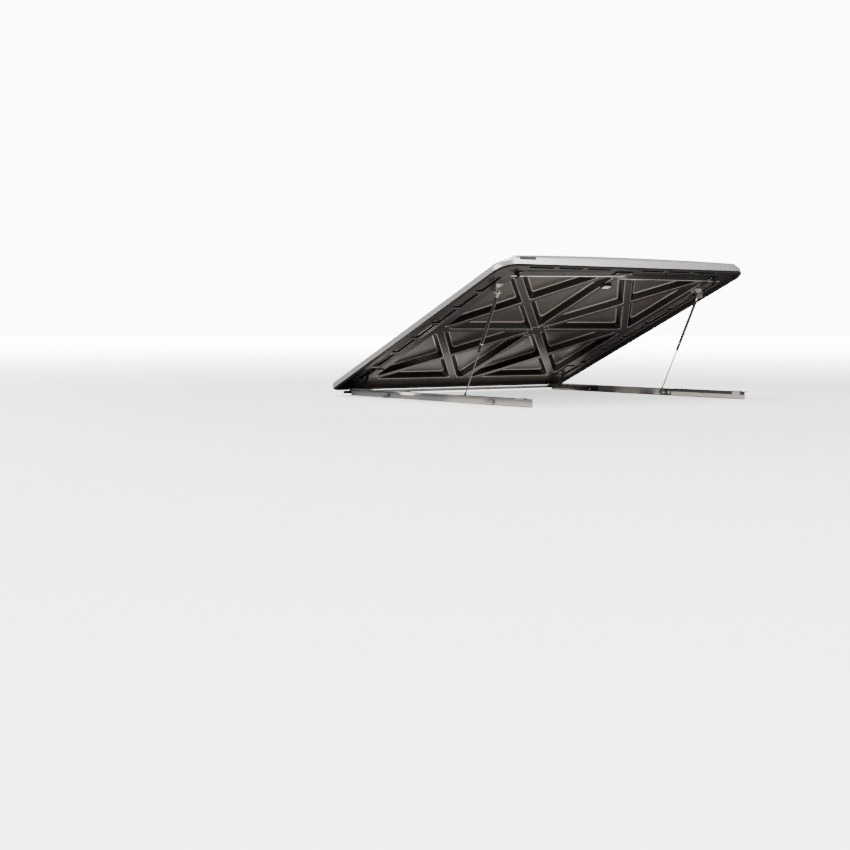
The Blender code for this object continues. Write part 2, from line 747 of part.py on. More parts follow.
def side_rail(word, side):
    """An angle extrusion: its flange lies on the bed rail and its web hangs inside the bed."""
    top, bottom = SEAT_Z + RAIL_TOP, SEAT_Z - RAIL_DROP
    inner, outer, edge = RAIL_X - RAIL_WALL, RAIL_X + RAIL_FLANGE, 0.001
    outline = [(side * x, z) for x, z in (
        (inner, bottom), (RAIL_X, bottom), (RAIL_X, SEAT_Z), (outer, SEAT_Z), (outer, top - edge),
        (outer - 3 * edge, top), (inner + edge, top), (inner, top - edge))]
    rail = prism(f"{word}_side_rail", outline, RAIL_REAR_Y, RAIL_FRONT_Y, "y", "rail_aluminium")
    for y in CLAMP_YS:
        drill(rail, (side * RAIL_X, y, CLAMP_Z), (1, 0, 0), BOLT_SHANK + GAP, 0.03, 12)


def clamp_jaw(word, place, side, y):
    """A jaw that reaches behind the bed rail's inner flange."""
    half, low, mouth, high = 0.022, SEAT_Z - 0.040, SEAT_Z - 0.031, SEAT_Z - 0.010
    outline = [(side * x, z) for x, z in (
        (RAIL_X + GAP, low), (JAW_OUTER, low), (JAW_OUTER, high), (JAW_INNER, high), (JAW_INNER, mouth),
        (RAIL_X + GAP, mouth))]
    jaw = prism(f"{word}_{place}_clamp_jaw", outline, y - half, y + half, "y", "zinc_steel")
    drill(jaw, (side * RAIL_X, y, CLAMP_Z), (1, 0, 0), BOLT_SHANK + GAP, 0.08, 12)


def clamp_bolt(word, place, side, y, seat):
    """The bolt that draws the jaw to the web, with its head at this distance from the middle."""
    head_radius, head_height, tail = 0.0072, 0.0065, 0.008
    face, end = seat - GAP, JAW_OUTER + tail
    profile = [(0.0, face - head_height), (head_radius, face - head_height), (head_radius, face),
               (BOLT_SHANK, face), (BOLT_SHANK, end), (0.0, end)]
    turned(f"{word}_{place}_clamp_bolt", profile, "zinc_steel", None,
           along((0.0, y, CLAMP_Z), (side, 0.0, 0.0)), 12)


def striker(word, side):
    """A folded plate on the rail's flange: its ledge lies over the bolt when the lid is shut."""
    y = HINGE_Y + HINGE_SETBACK - BOLT_S
    half, thick = 0.024, 0.0028
    base = SEAT_Z + RAIL_TOP + GAP
    ledge_low = SEAT_Z + 0.0060
    ledge_top = ledge_low + thick
    outer, fold, ledge_end = 0.830, 0.8035, BOLT_OUTER + 0.003
    outline = [(side * x, z) for x, z in (
        (outer, base), (outer, base + thick), (fold, base + thick), (fold, ledge_top),
        (ledge_end, ledge_top), (ledge_end, ledge_low), (fold - 0.003, ledge_low), (fold - 0.003, base))]
    prism(f"{word}_striker", outline, y - half, y + half, "y", "zinc_steel")


# --- Gas struts -----------------------------------------------------------------------------------


def socket(name, side, slot, axis, neck, neck_radius):
    """A ball cup lying across the strut, open on its outer side, with its neck along the strut's axis."""
    low, high, bore, floor = STRUT_X - SOCKET_HALF, STRUT_X + SOCKET_HALF, BALL_RADIUS + 0.0007, 0.0012
    profile = [(0.0, low), (SOCKET_RADIUS, low), (SOCKET_RADIUS, high), (bore, high), (bore, low + floor),
               (0.0, low + floor)]
    cup = turned(name, profile, slot, axis, along((0.0, 0.0, 0.0), (side, 0.0, 0.0)), 20)
    start = math.copysign(bore + 0.0015, neck)
    stem = rod_between(name + "_stem", (side * STRUT_X, 0.0, start), (side * STRUT_X, 0.0, neck),
                       neck_radius, None, axis, 16)
    return combine(cup, stem, "UNION")


def ball_profile(end):
    """A ball at STRUT_X with its neck running out to end."""
    bulge = BALL_RADIUS * 0.7
    return [(0.0, STRUT_X - BALL_RADIUS), (bulge, STRUT_X - bulge), (BALL_RADIUS, STRUT_X),
            (bulge, STRUT_X + bulge), (NECK_RADIUS, STRUT_X + SOCKET_HALF), (NECK_RADIUS, end), (0.0, end)]


def strut_tube_parts(word, side, upper_axis):
    """Socket, ball, tube and gland: they hang from the upper ball along -Z."""
    axis_x = Matrix.Translation((side * STRUT_X, 0.0, 0.0))
    across = along((0.0, 0.0, 0.0), (side, 0.0, 0.0))
    socket(f"{word}_upper_socket", side, "zinc_steel", upper_axis, -(TUBE_START - GAP), 0.0062)
    ball = ball_profile(EAR_INNER - STUD_HEAD - GAP)
    turned(f"{word}_upper_ball", ball, "zinc_steel", upper_axis, across, 16)
    inner, edge, cap = TUBE_RADIUS - TUBE_WALL, 0.001, 0.004
    tube = [(0.0, -TUBE_START), (TUBE_RADIUS - edge, -TUBE_START), (TUBE_RADIUS, -TUBE_START - edge),
            (TUBE_RADIUS, -TUBE_END), (inner, -TUBE_END), (inner, -TUBE_START - cap),
            (0.0, -TUBE_START - cap)]
    turned(f"{word}_strut_tube", tube, "strut_black", upper_axis, axis_x)
    bore, seat, plug, flange = ROD_RADIUS + 0.0004, inner - GAP, 0.012, 0.007
    nose = -TUBE_END - flange
    gland = [(bore, -TUBE_END + plug), (bore, nose), (TUBE_RADIUS - edge, nose),
             (TUBE_RADIUS, nose + 1.5 * edge), (TUBE_RADIUS, -TUBE_END - GAP),
             (seat, -TUBE_END - GAP), (seat, -TUBE_END + plug)]
    turned(f"{word}_rod_gland", gland, "black_plastic", upper_axis, axis_x)


def strut_rod_parts(word, side, lower_axis, length):
    """Rod, piston and the moulded end fitting: they stand on the lower ball along +Z."""
    axis_x = Matrix.Translation((side * STRUT_X, 0.0, 0.0))
    rod_start, rod_end = 0.026, length - TUBE_END + 0.036
    rod_between(f"{word}_strut_rod", (side * STRUT_X, 0.0, rod_start), (side * STRUT_X, 0.0, rod_end),
                ROD_RADIUS, "nitrided_rod", lower_axis, 14)
    bore, ring, height = ROD_RADIUS + GAP, TUBE_RADIUS - TUBE_WALL - 0.0004, 0.010
    top = rod_end - 0.006
    piston = [(bore, top), (ring, top), (ring, top - height), (bore, top - height)]
    turned(f"{word}_strut_piston", piston, "zinc_steel", lower_axis, axis_x)
    neck = 0.034
    fitting = socket(f"{word}_lower_socket", side, "black_plastic", lower_axis, neck, 0.0060)
    bore_length = 2 * (neck - rod_start) + 0.003
    drill(fitting, (side * STRUT_X, 0.0, neck + 0.001), (0, 0, 1), ROD_RADIUS + GAP, bore_length, 14)


def upper_bracket(word, side, lid):
    """The upper ear on the lid, with the threaded base of its ball stud."""
    ear_outer = EAR_INNER + EAR_PLATE
    root = LINER_FACE - 0.001
    low, wide, narrow = UPPER_BALL_Z - 0.011, 0.024, 0.013
    outline = ((-UPPER_BALL_S - wide, root), (-UPPER_BALL_S - narrow, low), (-UPPER_BALL_S + narrow, low),
               (-UPPER_BALL_S + wide, root))
    xs = sorted((side * EAR_INNER, side * ear_outer))
    ear = prism(f"{word}_strut_bracket", outline, xs[0], xs[1], "x", "zinc_steel", lid)
    foot = side_box(f"{word}_ear_foot", side, FOOT_INNER, ear_outer - 0.001,
                    (-UPPER_BALL_S - wide - 0.002, LINER_FACE - FOOT_PLATE),
                    (-UPPER_BALL_S + wide + 0.002, LINER_FACE), None, lid)
    combine(ear, foot, "UNION")
    drill(ear, (side * EAR_INNER, -UPPER_BALL_S, UPPER_BALL_Z), (1, 0, 0), STUD_THREAD + GAP, 0.02, 12)
    split, seat, end = EAR_INNER - STUD_HEAD, EAR_INNER - GAP, ear_outer + 0.004
    base = [(0.0, split), (NECK_RADIUS, split), (STUD_HEAD, split + 0.0006), (STUD_HEAD, seat),
            (STUD_THREAD, seat), (STUD_THREAD, end), (0.0, end)]
    turned(f"{word}_stud_base", base, "zinc_steel", lid,
           along((0.0, -UPPER_BALL_S, UPPER_BALL_Z), (side, 0.0, 0.0)), 16)


def lower_bracket(word, side):
    """The plate on the rail's web, with a ball stud on a long shoulder."""
    outer, thick, half_y = RAIL_X - RAIL_WALL - GAP, 0.0045, 0.045
    plate = side_box(f"{word}_rail_bracket", side, outer - thick, outer,
                     (LOWER_BALL_Y - half_y, SEAT_Z - 0.038), (LOWER_BALL_Y + half_y, SEAT_Z - 0.001),
                     "black_steel", None, 0.001)
    drill(plate, (side * outer, LOWER_BALL_Y, LOWER_BALL_Z), (1, 0, 0), STUD_THREAD + GAP, 0.03, 12)
    face, end, shoulder = outer - thick - GAP, outer - 0.0005, 0.019
    stud = ball_profile(end)[:-2]
    stud += [(NECK_RADIUS, face - shoulder), (STUD_HEAD, face - shoulder), (STUD_HEAD, face),
             (STUD_THREAD, face), (STUD_THREAD, end), (0.0, end)]
    turned(f"{word}_pivot_stud", stud, "zinc_steel", None,
           along((0.0, LOWER_BALL_Y, LOWER_BALL_Z), (side, 0.0, 0.0)), 16)


def lid_to_world():
    hinge = Matrix.Translation((0.0, HINGE_Y, HINGE_Z)) @ Matrix.Rotation(-OPEN_ANGLE, 4, "X")
    return hinge @ Matrix.Translation((0.0, HINGE_SETBACK, LIP_Z - HINGE_Z))


def struts(lid):
    """Both struts, each between an axis on its upper ball and one on its lower ball."""
    upper = lid_to_world() @ Vector((0.0, -UPPER_BALL_S, UPPER_BALL_Z))
    lower = Vector((0.0, LOWER_BALL_Y, LOWER_BALL_Z))
    reach = upper - lower
    lean = math.atan2(-reach.y, reach.z)
    for word, side in SIDES:
        strut_tube_parts(word, side, empty(f"{word}_upper_axis", upper, lean))
        strut_rod_parts(word, side, empty(f"{word}_lower_axis", lower, lean), reach.length)
        upper_bracket(word, side, lid)
        lower_bracket(word, side)


def latch(lid):
    """Lock, handle, rotor and the two bolts with their rods, each on its own axis."""
    top = skin_height(0.0, LATCH_S) + GAP
    floor = top - DISH_DEPTH
    handle_axis = empty("handle_axis", (0.0, -LATCH_S, 0.0), 0.0, lid)
    key_axis = empty("key_axis", (0.0, -LATCH_S, 0.0), 0.0, lid)
    lock_bezel(lid, top, floor)
    lock_housing(lid)
    turn_handle(handle_axis, top, floor)
    latch_rotor(handle_axis)
    lock_cylinder(key_axis, top)
    for word, side in SIDES:
        slide_axis = empty(f"{word}_slide_axis", (0.0, -BOLT_S, ROD_Z), 0.0, lid)
        latch_rod(word, side, slide_axis)
        latch_bolt(word, side, slide_axis)
        rod_guide(word, side, lid)


def rails():
    """Front rail, side rails and everything that is fastened to them."""
    front_rail()
    web = RAIL_X - RAIL_WALL
    for word, side in SIDES:
        side_rail(word, side)
        hinge_bracket(word, side)
        hinge_pin(word, side)
        striker(word, side)
        seats = (web - GAP - BRACKET_PLATE, web)
        for place, y, seat in zip(("front", "rear"), CLAMP_YS, seats):
            clamp_jaw(word, place, side, y)
            clamp_bolt(word, place, side, y, seat)


def main():
    clear_scene()
    hinge = empty("hinge_axis", (0.0, HINGE_Y, HINGE_Z), -OPEN_ANGLE)
    lid = empty("lid_frame", (0.0, HINGE_SETBACK, LIP_Z - HINGE_Z), 0.0, hinge)
    lamp_axis = empty("lamp_axis", (0.0, -LAMP_S, LINER_FACE - LAMP_HEIGHT), 0.0, lid)
    outer_shell(lid)
    inner_liner(lid)
    edge_seal(lid)
    name_plate(lid)
    latch(lid)
    lamp(lid, lamp_axis)
    for word, side in SIDES:
        hinge_arm(word, side, lid)
    rails()
    struts(lid)


main()
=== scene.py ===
"""Looks for the open tonneau cover: painted skin, formed black liner, latch, struts and rails.

The lid's pieces are made in the lid frame (origin at the middle of the front edge at lip level, y minus
the distance from that edge, z the height above the lip) and then turned to the open angle with LID.
"""

import json
import math

import bmesh
import bpy
from mathutils import Matrix, Vector, geometry


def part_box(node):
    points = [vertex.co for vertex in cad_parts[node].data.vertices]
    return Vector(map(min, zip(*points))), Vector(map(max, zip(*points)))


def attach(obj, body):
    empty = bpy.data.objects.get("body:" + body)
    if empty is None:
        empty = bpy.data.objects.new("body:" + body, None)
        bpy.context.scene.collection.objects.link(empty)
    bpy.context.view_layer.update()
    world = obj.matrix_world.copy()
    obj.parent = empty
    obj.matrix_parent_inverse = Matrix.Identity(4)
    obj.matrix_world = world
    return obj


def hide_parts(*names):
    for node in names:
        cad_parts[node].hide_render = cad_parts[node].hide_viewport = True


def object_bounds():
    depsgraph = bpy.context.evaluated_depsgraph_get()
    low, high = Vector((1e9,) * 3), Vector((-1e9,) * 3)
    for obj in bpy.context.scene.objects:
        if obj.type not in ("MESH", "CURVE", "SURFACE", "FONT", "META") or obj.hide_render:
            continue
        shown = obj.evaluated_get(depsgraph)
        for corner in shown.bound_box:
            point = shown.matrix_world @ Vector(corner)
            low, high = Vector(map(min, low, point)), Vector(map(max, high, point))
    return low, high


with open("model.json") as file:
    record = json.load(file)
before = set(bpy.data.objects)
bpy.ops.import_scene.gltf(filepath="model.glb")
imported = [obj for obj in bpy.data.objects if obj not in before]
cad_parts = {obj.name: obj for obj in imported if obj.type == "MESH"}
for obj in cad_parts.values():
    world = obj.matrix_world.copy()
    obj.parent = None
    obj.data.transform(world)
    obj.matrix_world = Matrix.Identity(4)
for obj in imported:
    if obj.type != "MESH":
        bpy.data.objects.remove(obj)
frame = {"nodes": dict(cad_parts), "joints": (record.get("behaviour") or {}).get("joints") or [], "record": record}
SIZE_BEFORE = [list(corner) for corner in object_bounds()]

# Lid dimensions, as in the CAD
LID_WIDTH = 1.83
LID_LENGTH = 1.79
REAR_CORNER = 0.10
FRONT_CORNER = 0.035
SKIN = 0.004
LEDGE_HEIGHT = 0.038
FIELD_RAISE = 0.0135
CROWN = 0.014
LEDGE_WIDTH = 0.074
STEP_WIDTH = 0.018  # from the ledge up to the field
ARCH_RUN = 0.5  # from the front edge to the full crown
EDGE_RADIUS = 0.019
HINGE_SETBACK = 0.035
HINGE_DROP = 0.014
LINER_Z = 0.006
LINER_WALL = 0.003
PAN_DEPTH = 0.036
PAN_SLOPE = 0.026
RIB_WIDTH = 0.042
TRUSS_X = 0.712
TRUSS_FRONT = 0.150
TRUSS_REAR = 1.640
POCKET_DEPTH = 0.014
GROOVE_DEPTH = 0.0035
LATCH_S = 1.683
ROTOR_PIN = 0.018
DISH_DEPTH = 0.016
HOLE_RADIUS = 0.0428
BOLT_S = 1.668
BOLT_INNER = 0.690
ROD_Z = -0.011
UPPER_BALL_S = 1.508
UPPER_BALL_Z = -0.034
STRUT_X = 0.755
LOWER_BALL_Y = -1.1025
LOWER_BALL_Z = 0.012
LAMP_S = 1.545
JAW_OUTER = 0.8225
GAP = 0.0003
HEAD_POINTS = 24  # round a screw head
FAR = 9.0  # longer than any edge of an outline
SIDES = (("left", -1), ("right", 1))

LIFT = next(joint for joint in frame["joints"] if joint["name"] == "lid_lift")
HINGE = Vector(LIFT["pos_m"])
OPEN_ANGLE = math.radians(-LIFT["range_deg"][0])
STRIKER_Y = HINGE[1] + HINGE_SETBACK - BOLT_S
LID = (Matrix.Translation(HINGE) @ Matrix.Rotation(-OPEN_ANGLE, 4, "X")
       @ Matrix.Translation((0.0, HINGE_SETBACK, HINGE_DROP)))


# --- Camera, light and floor ----------------------------------------------------------------------

CAMERA_PLACE = (-5.760, -7.612, 0.399)
CAMERA_YAW = math.radians(36.07)
CAMERA_DOWN = math.radians(3.72)
CAMERA_ROLL = math.radians(0.11)
LENS_MM = 63.377
SENSOR_MM = 36.0
WORLD_FILL = 0.45
WORLD_SEEN = 14.0
# the floor's painted light and shade: its glow for the camera, and its dark colour for bounced light
FLOOR_NEAR_GLOW = 1.2
FLOOR_BOUNCE = 0.06
OVERHEAD = 500.0
LEFT_BOX = 200.0
REAR_BOX = 290.0
UNDER_REAR = 11.5
UNDER_TINT = (1.0, 0.925, 0.865)
UNDER_LEFT = 2.5
FRONT_RIGHT = 110.0
UNDER_STRIPS = ((-0.16, 1.6), (-0.76, 0.75))


def camera():
    data = bpy.data.cameras.new("camera")
    data.sensor_width = SENSOR_MM
    data.lens = LENS_MM
    data.clip_end = 200.0
    made = bpy.data.objects.new("camera", data)
    bpy.context.scene.collection.objects.link(made)
    turn = (Matrix.Rotation(-CAMERA_YAW, 4, "Z") @ Matrix.Rotation(math.pi / 2 - CAMERA_DOWN, 4, "X")
            @ Matrix.Rotation(CAMERA_ROLL, 4, "Z"))
    made.matrix_world = Matrix.Translation(CAMERA_PLACE) @ turn
    bpy.context.scene.camera = made


def area_light(name, place, target, width, height, power):
    data = bpy.data.lights.new(name, "AREA")
    data.shape = "RECTANGLE"
    data.size = width
    data.size_y = height
    data.energy = power
    made = bpy.data.objects.new(name, data)
    bpy.context.scene.collection.objects.link(made)
    way = Vector(target) - Vector(place)
    made.matrix_world = Matrix.Translation(place) @ way.to_track_quat("-Z", "Y").to_matrix().to_4x4()
    return made


def hidden_light(*settings):
    """A warm light that shines and is reflected, but isn't seen itself."""
    made = area_light(*settings)
    made.visible_camera = False
    made.data.color = UNDER_TINT
    return made


def studio():
    """A white backdrop with soft boxes, and low lamps that lift the lid's underside."""
    world = bpy.data.worlds.new("studio")
    bpy.context.scene.world = world
    world.use_nodes = True
    tree = world.node_tree
    fill = tree.nodes["Background"]
    fill.inputs["Color"].default_value = (0.97, 0.98, 1.0, 1.0)
    fill.inputs["Strength"].default_value = WORLD_FILL
    seen = tree.nodes.new("ShaderNodeBackground")
    seen.inputs["Strength"].default_value = WORLD_SEEN
    rays = tree.nodes.new("ShaderNodeLightPath")
    mix = tree.nodes.new("ShaderNodeMixShader")
    tree.links.new(rays.outputs["Is Camera Ray"], mix.inputs["Fac"])
    tree.links.new(fill.outputs["Background"], mix.inputs[1])
    tree.links.new(seen.outputs["Background"], mix.inputs[2])
    tree.links.new(mix.outputs["Shader"], tree.nodes["World Output"].inputs["Surface"])
    middle = (0.0, -0.9, 0.4)
    area_light("overhead", (-1.0, -0.8, 5.0), (0.0, -0.8, 0.4), 5.0, 4.0, OVERHEAD)
    area_light("left_softbox", (-5.5, -0.2, 2.0), middle, 5.0, 2.2, LEFT_BOX)
    area_light("rear_softbox", (2.0, -6.0, 5.2), middle, 5.0, 1.6, REAR_BOX)
    low = SIZE_BEFORE[0][2] + 0.004
    hidden_light("light_under_rear", (0.0, -1.55, low), (0.0, -1.55, 1.0), 1.7, 1.1, UNDER_REAR)
    hidden_light("light_under_left", (-0.68, -0.62, low), (-0.50, -0.62, 1.0), 0.12, 0.9, UNDER_LEFT)
    for y, power in UNDER_STRIPS:
        hidden_light("light_under_strip", (0.15, y, low), (0.15, y, 1.0), 1.7, 0.22, power)
    hidden_light("light_front_right", (2.1, 1.9, low), (2.1, 1.9, 1.0), 4.0, 3.4, FRONT_RIGHT)


def floor(level):
    """A pale floor. Round the object it throws little light back up, like the dark inside of a bed: a painted
    shade for bounced light.
    """
    mesh = bpy.data.meshes.new("floor")
    reach = 60.0
    mesh.from_pydata([(-reach, -reach, level), (reach, -reach, level), (reach, reach, level),
                      (-reach, reach, level)], [], [(0, 1, 2, 3)])
    made = bpy.data.objects.new("floor", mesh)
    bpy.context.scene.collection.objects.link(made)
    mesh.materials.append(floor_material())


# --- Materials ------------------------------------------------------------------------------------


class Nodes:
    """Small helper for writing node trees: add a node, set its inputs, and link."""

    def __init__(self, name):
        self.material = bpy.data.materials.new(name)
        self.material.use_nodes = True
        self.tree = self.material.node_tree
        self.shader = self.tree.nodes["Principled BSDF"]

    def add(self, kind, **settings):
        node = self.tree.nodes.new(kind)
        for key, value in settings.items():
            setattr(node, key, value)
        return node

    def link(self, output, target):
        self.tree.links.new(output, target)

    def feed(self, name, output):
        """Links an output to an input of the surface shader."""
        self.link(output, self.shader.inputs[name])

    def value(self, name, value):
        """Sets an input of the surface shader."""
        self.shader.inputs[name].default_value = value

    def coordinates(self, scale=(1.0, 1.0, 1.0)):
        """Points of the surface, stretched by the scale."""
        source = self.add("ShaderNodeNewGeometry")
        mapping = self.add("ShaderNodeMapping")
        mapping.inputs["Scale"].default_value = scale
        self.link(source.outputs["Position"], mapping.inputs["Vector"])
        return mapping.outputs["Vector"]

    def noise(self, vector, scale, detail=2.0, roughness=0.5):
        node = self.add("ShaderNodeTexNoise")
        node.inputs["Scale"].default_value = scale
        node.inputs["Detail"].default_value = detail
        node.inputs["Roughness"].default_value = roughness
        self.link(vector, node.inputs["Vector"])
        return node.outputs["Fac"]

    def cells(self, vector, scale):
        node = self.add("ShaderNodeTexVoronoi")
        node.inputs["Scale"].default_value = scale
        self.link(vector, node.inputs["Vector"])
        return node

    def spread(self, factor, low, high, from_low=0.0, from_high=1.0):
        """Maps the factor's range to low..high."""
        node = self.add("ShaderNodeMapRange")
        node.inputs["From Min"].default_value = from_low
        node.inputs["From Max"].default_value = from_high
        node.inputs["To Min"].default_value = low
        node.inputs["To Max"].default_value = high
        self.link(factor, node.inputs["Value"])
        return node.outputs["Result"]

    def blend(self, factor, first, second):
        """Goes from one fixed colour to another."""
        node = self.add("ShaderNodeMix", data_type="RGBA")
        self.link(factor, node.inputs["Factor"])
        node.inputs[6].default_value = (*first, 1.0)
        node.inputs[7].default_value = (*second, 1.0)
        return node.outputs[2]

    def mix(self, factor, first, second):
        """Blends the colour from a socket towards a fixed colour."""
        node = self.add("ShaderNodeMix", data_type="RGBA")
        self.link(factor, node.inputs["Factor"])
        self.link(first, node.inputs[6])
        node.inputs[7].default_value = (*second, 1.0)
        return node.outputs[2]

    def bump(self, height, strength, distance):
        node = self.add("ShaderNodeBump")
        node.inputs["Strength"].default_value = strength
        node.inputs["Distance"].default_value = distance
        self.link(height, node.inputs["Height"])
        self.link(node.outputs["Normal"], self.shader.inputs["Normal"])
        return node


def paint_material():
    """Metallic silver: fine flake under a clear coat."""
    n = Nodes("silver_paint")
    at = n.coordinates()
    flake = n.cells(at, 1500.0)
    separate = n.add("ShaderNodeSeparateColor")
    n.link(flake.outputs["Color"], separate.inputs["Color"])
    n.feed("Base Color", n.blend(separate.outputs["Red"], (0.46, 0.445, 0.425), (0.62, 0.60, 0.575)))
    n.feed("Roughness", n.spread(n.noise(at, 3.0), 0.30, 0.36))
    n.value("Metallic", 0.72)
    n.value("Coat Weight", 1.0)
    n.value("Coat Roughness", 0.07)
    n.bump(separate.outputs["Green"], 0.10, 0.0002)
    return n.material


def liner_material():
    """Formed black plastic, with light and shade painted into its colour. The form attribute says where the sheet
    was drawn: edges (red) get a paler colour, a painted highlight, and a clear coat with less roughness; pan walls
    (green) a near-black colour, painted shade, with less specular; and pan floors (blue) a lighter colour, painted
    light, with more specular for a soft satin."""
    n = Nodes("black_abs")
    at = n.coordinates()
    form = n.add("ShaderNodeAttribute", attribute_name="form")
    parts = n.add("ShaderNodeSeparateColor")
    n.link(form.outputs["Color"], parts.inputs["Color"])
    # edge_highlight, wall and pan are the masks for a painted highlight, painted shade and painted light
    edge_highlight, wall, pan = (parts.outputs[name] for name in ("Red", "Green", "Blue"))
    colour = n.blend(n.noise(at, 5.0, 3.0), (0.013, 0.0115, 0.0105), (0.021, 0.0185, 0.017))
    # painted light: the pan floors get a lighter colour
    colour = n.mix(pan, colour, (0.050, 0.044, 0.040))
    # painted shade: the pan walls get a near-black colour
    colour = n.mix(wall, colour, (0.006, 0.0055, 0.005))
    # painted highlight: the rounded edges get a paler colour
    colour = n.mix(edge_highlight, colour, (0.28, 0.265, 0.25))
    n.feed("Base Color", colour)
    rough = n.spread(n.noise(at, 14.0, 4.0, 0.6), 0.26, 0.36, 0.3, 0.7)
    n.feed("Roughness", n.mix(edge_highlight, rough, (0.20,) * 3))
    shine = n.blend(pan, (0.22,) * 3, (0.5,) * 3)
    n.feed("Specular IOR Level", n.mix(wall, shine, (0.12,) * 3))
    n.feed("Coat Weight", edge_highlight)
    n.value("Coat Roughness", 0.12)
    n.bump(n.noise(at, 60.0, 2.0, 0.5), 0.05, 0.0002)
    return n.material


def rubber_material():
    """Dull black rubber."""
    n = Nodes("seal_rubber")
    at = n.coordinates()
    n.feed("Base Color", n.blend(n.noise(at, 30.0), (0.012, 0.012, 0.012), (0.024, 0.023, 0.022)))
    n.feed("Roughness", n.spread(n.noise(at, 60.0), 0.6, 0.8))
    n.bump(n.noise(at, 1400.0, 2.0), 0.2, 0.0002)
    return n.material


def coated_steel_material(name="black_steel", roughness=0.42, orange_peel=0.2):
    """Black coated steel. The strut tubes use it smoother and with less orange peel."""
    n = Nodes(name)
    at = n.coordinates()
    n.feed("Base Color", n.blend(n.noise(at, 40.0, 4.0), (0.014, 0.014, 0.014), (0.027, 0.026, 0.025)))
    n.feed("Roughness", n.spread(n.noise(at, 90.0), roughness - 0.06, roughness + 0.08))
    n.value("Metallic", 0.1)
    n.bump(n.noise(at, 700.0, 2.0), orange_peel, 0.0002)
    return n.material


def zinc_material():
    """Bright zinc plating."""
    n = Nodes("zinc_steel")
    at = n.coordinates()
    n.feed("Base Color", n.blend(n.noise(at, 180.0, 3.0), (0.50, 0.49, 0.47), (0.68, 0.67, 0.64)))
    n.feed("Roughness", n.spread(n.noise(at, 260.0, 3.0), 0.24, 0.42))
    n.value("Metallic", 1.0)
    n.bump(n.noise(at, 1200.0), 0.12, 0.0001)
    return n.material


def polished_material():
    """Polished bare steel."""
    n = Nodes("polished_rod")
    at = n.coordinates()
    n.feed("Base Color", n.blend(n.noise(at, 300.0), (0.66, 0.66, 0.65), (0.76, 0.76, 0.75)))
    n.feed("Roughness", n.spread(n.noise(at, 500.0), 0.10, 0.20))
    n.value("Metallic", 1.0)
    return n.material


def nitrided_material():
    """Dark nitrided bar with a fine mottle."""
    n = Nodes("nitrided_rod")
    at = n.coordinates()
    n.feed("Base Color", n.blend(n.noise(at, 300.0), (0.13, 0.13, 0.135), (0.19, 0.19, 0.195)))
    n.feed("Roughness", n.spread(n.noise(at, 500.0), 0.18, 0.30))
    n.value("Metallic", 0.9)
    return n.material


def aluminium_material():
    """Extruded aluminium, with faint die lines along Y."""
    n = Nodes("rail_aluminium")
    lines = n.coordinates((900.0, 6.0, 900.0))
    mottle = n.noise(n.coordinates(), 9.0, 3.0)
    n.feed("Base Color", n.blend(mottle, (0.36, 0.35, 0.33), (0.46, 0.45, 0.43)))
    n.feed("Roughness", n.spread(n.noise(lines, 1.0, 3.0), 0.42, 0.60))
    n.value("Metallic", 0.65)
    n.bump(n.noise(lines, 1.0, 2.0), 0.15, 0.0002)
    return n.material


def plastic_material():
    """Grained black plastic."""
    n = Nodes("black_plastic")
    at = n.coordinates()
    n.feed("Base Color", n.blend(n.noise(at, 50.0), (0.015, 0.015, 0.016), (0.026, 0.026, 0.026)))
    n.feed("Roughness", n.spread(n.noise(at, 70.0), 0.42, 0.56))
    n.bump(n.cells(at, 1600.0).outputs["Distance"], 0.25, 0.0002)
    return n.material


def lens_material():
    """Milky lamp lens with ribs moulded into it."""
    n = Nodes("lamp_white")
    at = n.coordinates((400.0, 0.0, 0.0))
    wave = n.add("ShaderNodeTexWave")
    wave.inputs["Scale"].default_value = 0.6
    n.link(at, wave.inputs["Vector"])
    n.feed("Base Color", n.blend(wave.outputs["Fac"], (0.74, 0.73, 0.70), (0.86, 0.85, 0.82)))
    n.value("Roughness", 0.3)
    n.value("Subsurface Weight", 0.2)
    n.value("Subsurface Scale", 0.003)
    n.bump(wave.outputs["Fac"], 0.4, 0.0004)
    return n.material


def floor_material():
    """Pale where it is seen, with a painted glow for the camera that rises away from the object and fades into the
    backdrop; for light that bounces it is dark round the object, painted shade.
    """
    n = Nodes("floor")
    at = n.coordinates()
    n.tree.nodes.remove(n.shader)
    middle = n.add("ShaderNodeVectorMath", operation="DISTANCE")
    middle.inputs[1].default_value = (0.3, -1.2, 0.0)
    n.link(at, middle.inputs[0])
    away = middle.outputs["Value"]
    plain = n.add("ShaderNodeBsdfDiffuse")
    n.link(n.blend(n.noise(at, 2.0), (0.80, 0.80, 0.79), (0.83, 0.83, 0.82)), plain.inputs["Color"])
    # painted light: for the camera the floor glows, weakly near the object and as bright as the backdrop far off
    glow = n.add("ShaderNodeEmission")
    n.link(n.spread(away, FLOOR_NEAR_GLOW, WORLD_SEEN, 2.5, 22.0), glow.inputs["Strength"])
    seen = n.add("ShaderNodeAddShader")
    n.link(plain.outputs["BSDF"], seen.inputs[0])
    n.link(glow.outputs["Emission"], seen.inputs[1])
    # painted shade: for bounced light the floor is dark within about 2.2 m of the object
    bounce = n.add("ShaderNodeBsdfDiffuse")
    bounce_shade_fade = n.spread(away, 0.0, 1.0, 2.2, 3.6)
    n.link(n.blend(bounce_shade_fade, (FLOOR_BOUNCE,) * 3, (0.8, 0.8, 0.8)), bounce.inputs["Color"])
    rays = n.add("ShaderNodeLightPath")
    mix = n.add("ShaderNodeMixShader")
    n.link(rays.outputs["Is Camera Ray"], mix.inputs["Fac"])
    n.link(bounce.outputs["BSDF"], mix.inputs[1])
    n.link(seen.outputs["Shader"], mix.inputs[2])
    n.link(mix.outputs["Shader"], n.tree.nodes["Material Output"].inputs["Surface"])
    return n.material


# --- Mesh helpers ---------------------------------------------------------------------------------


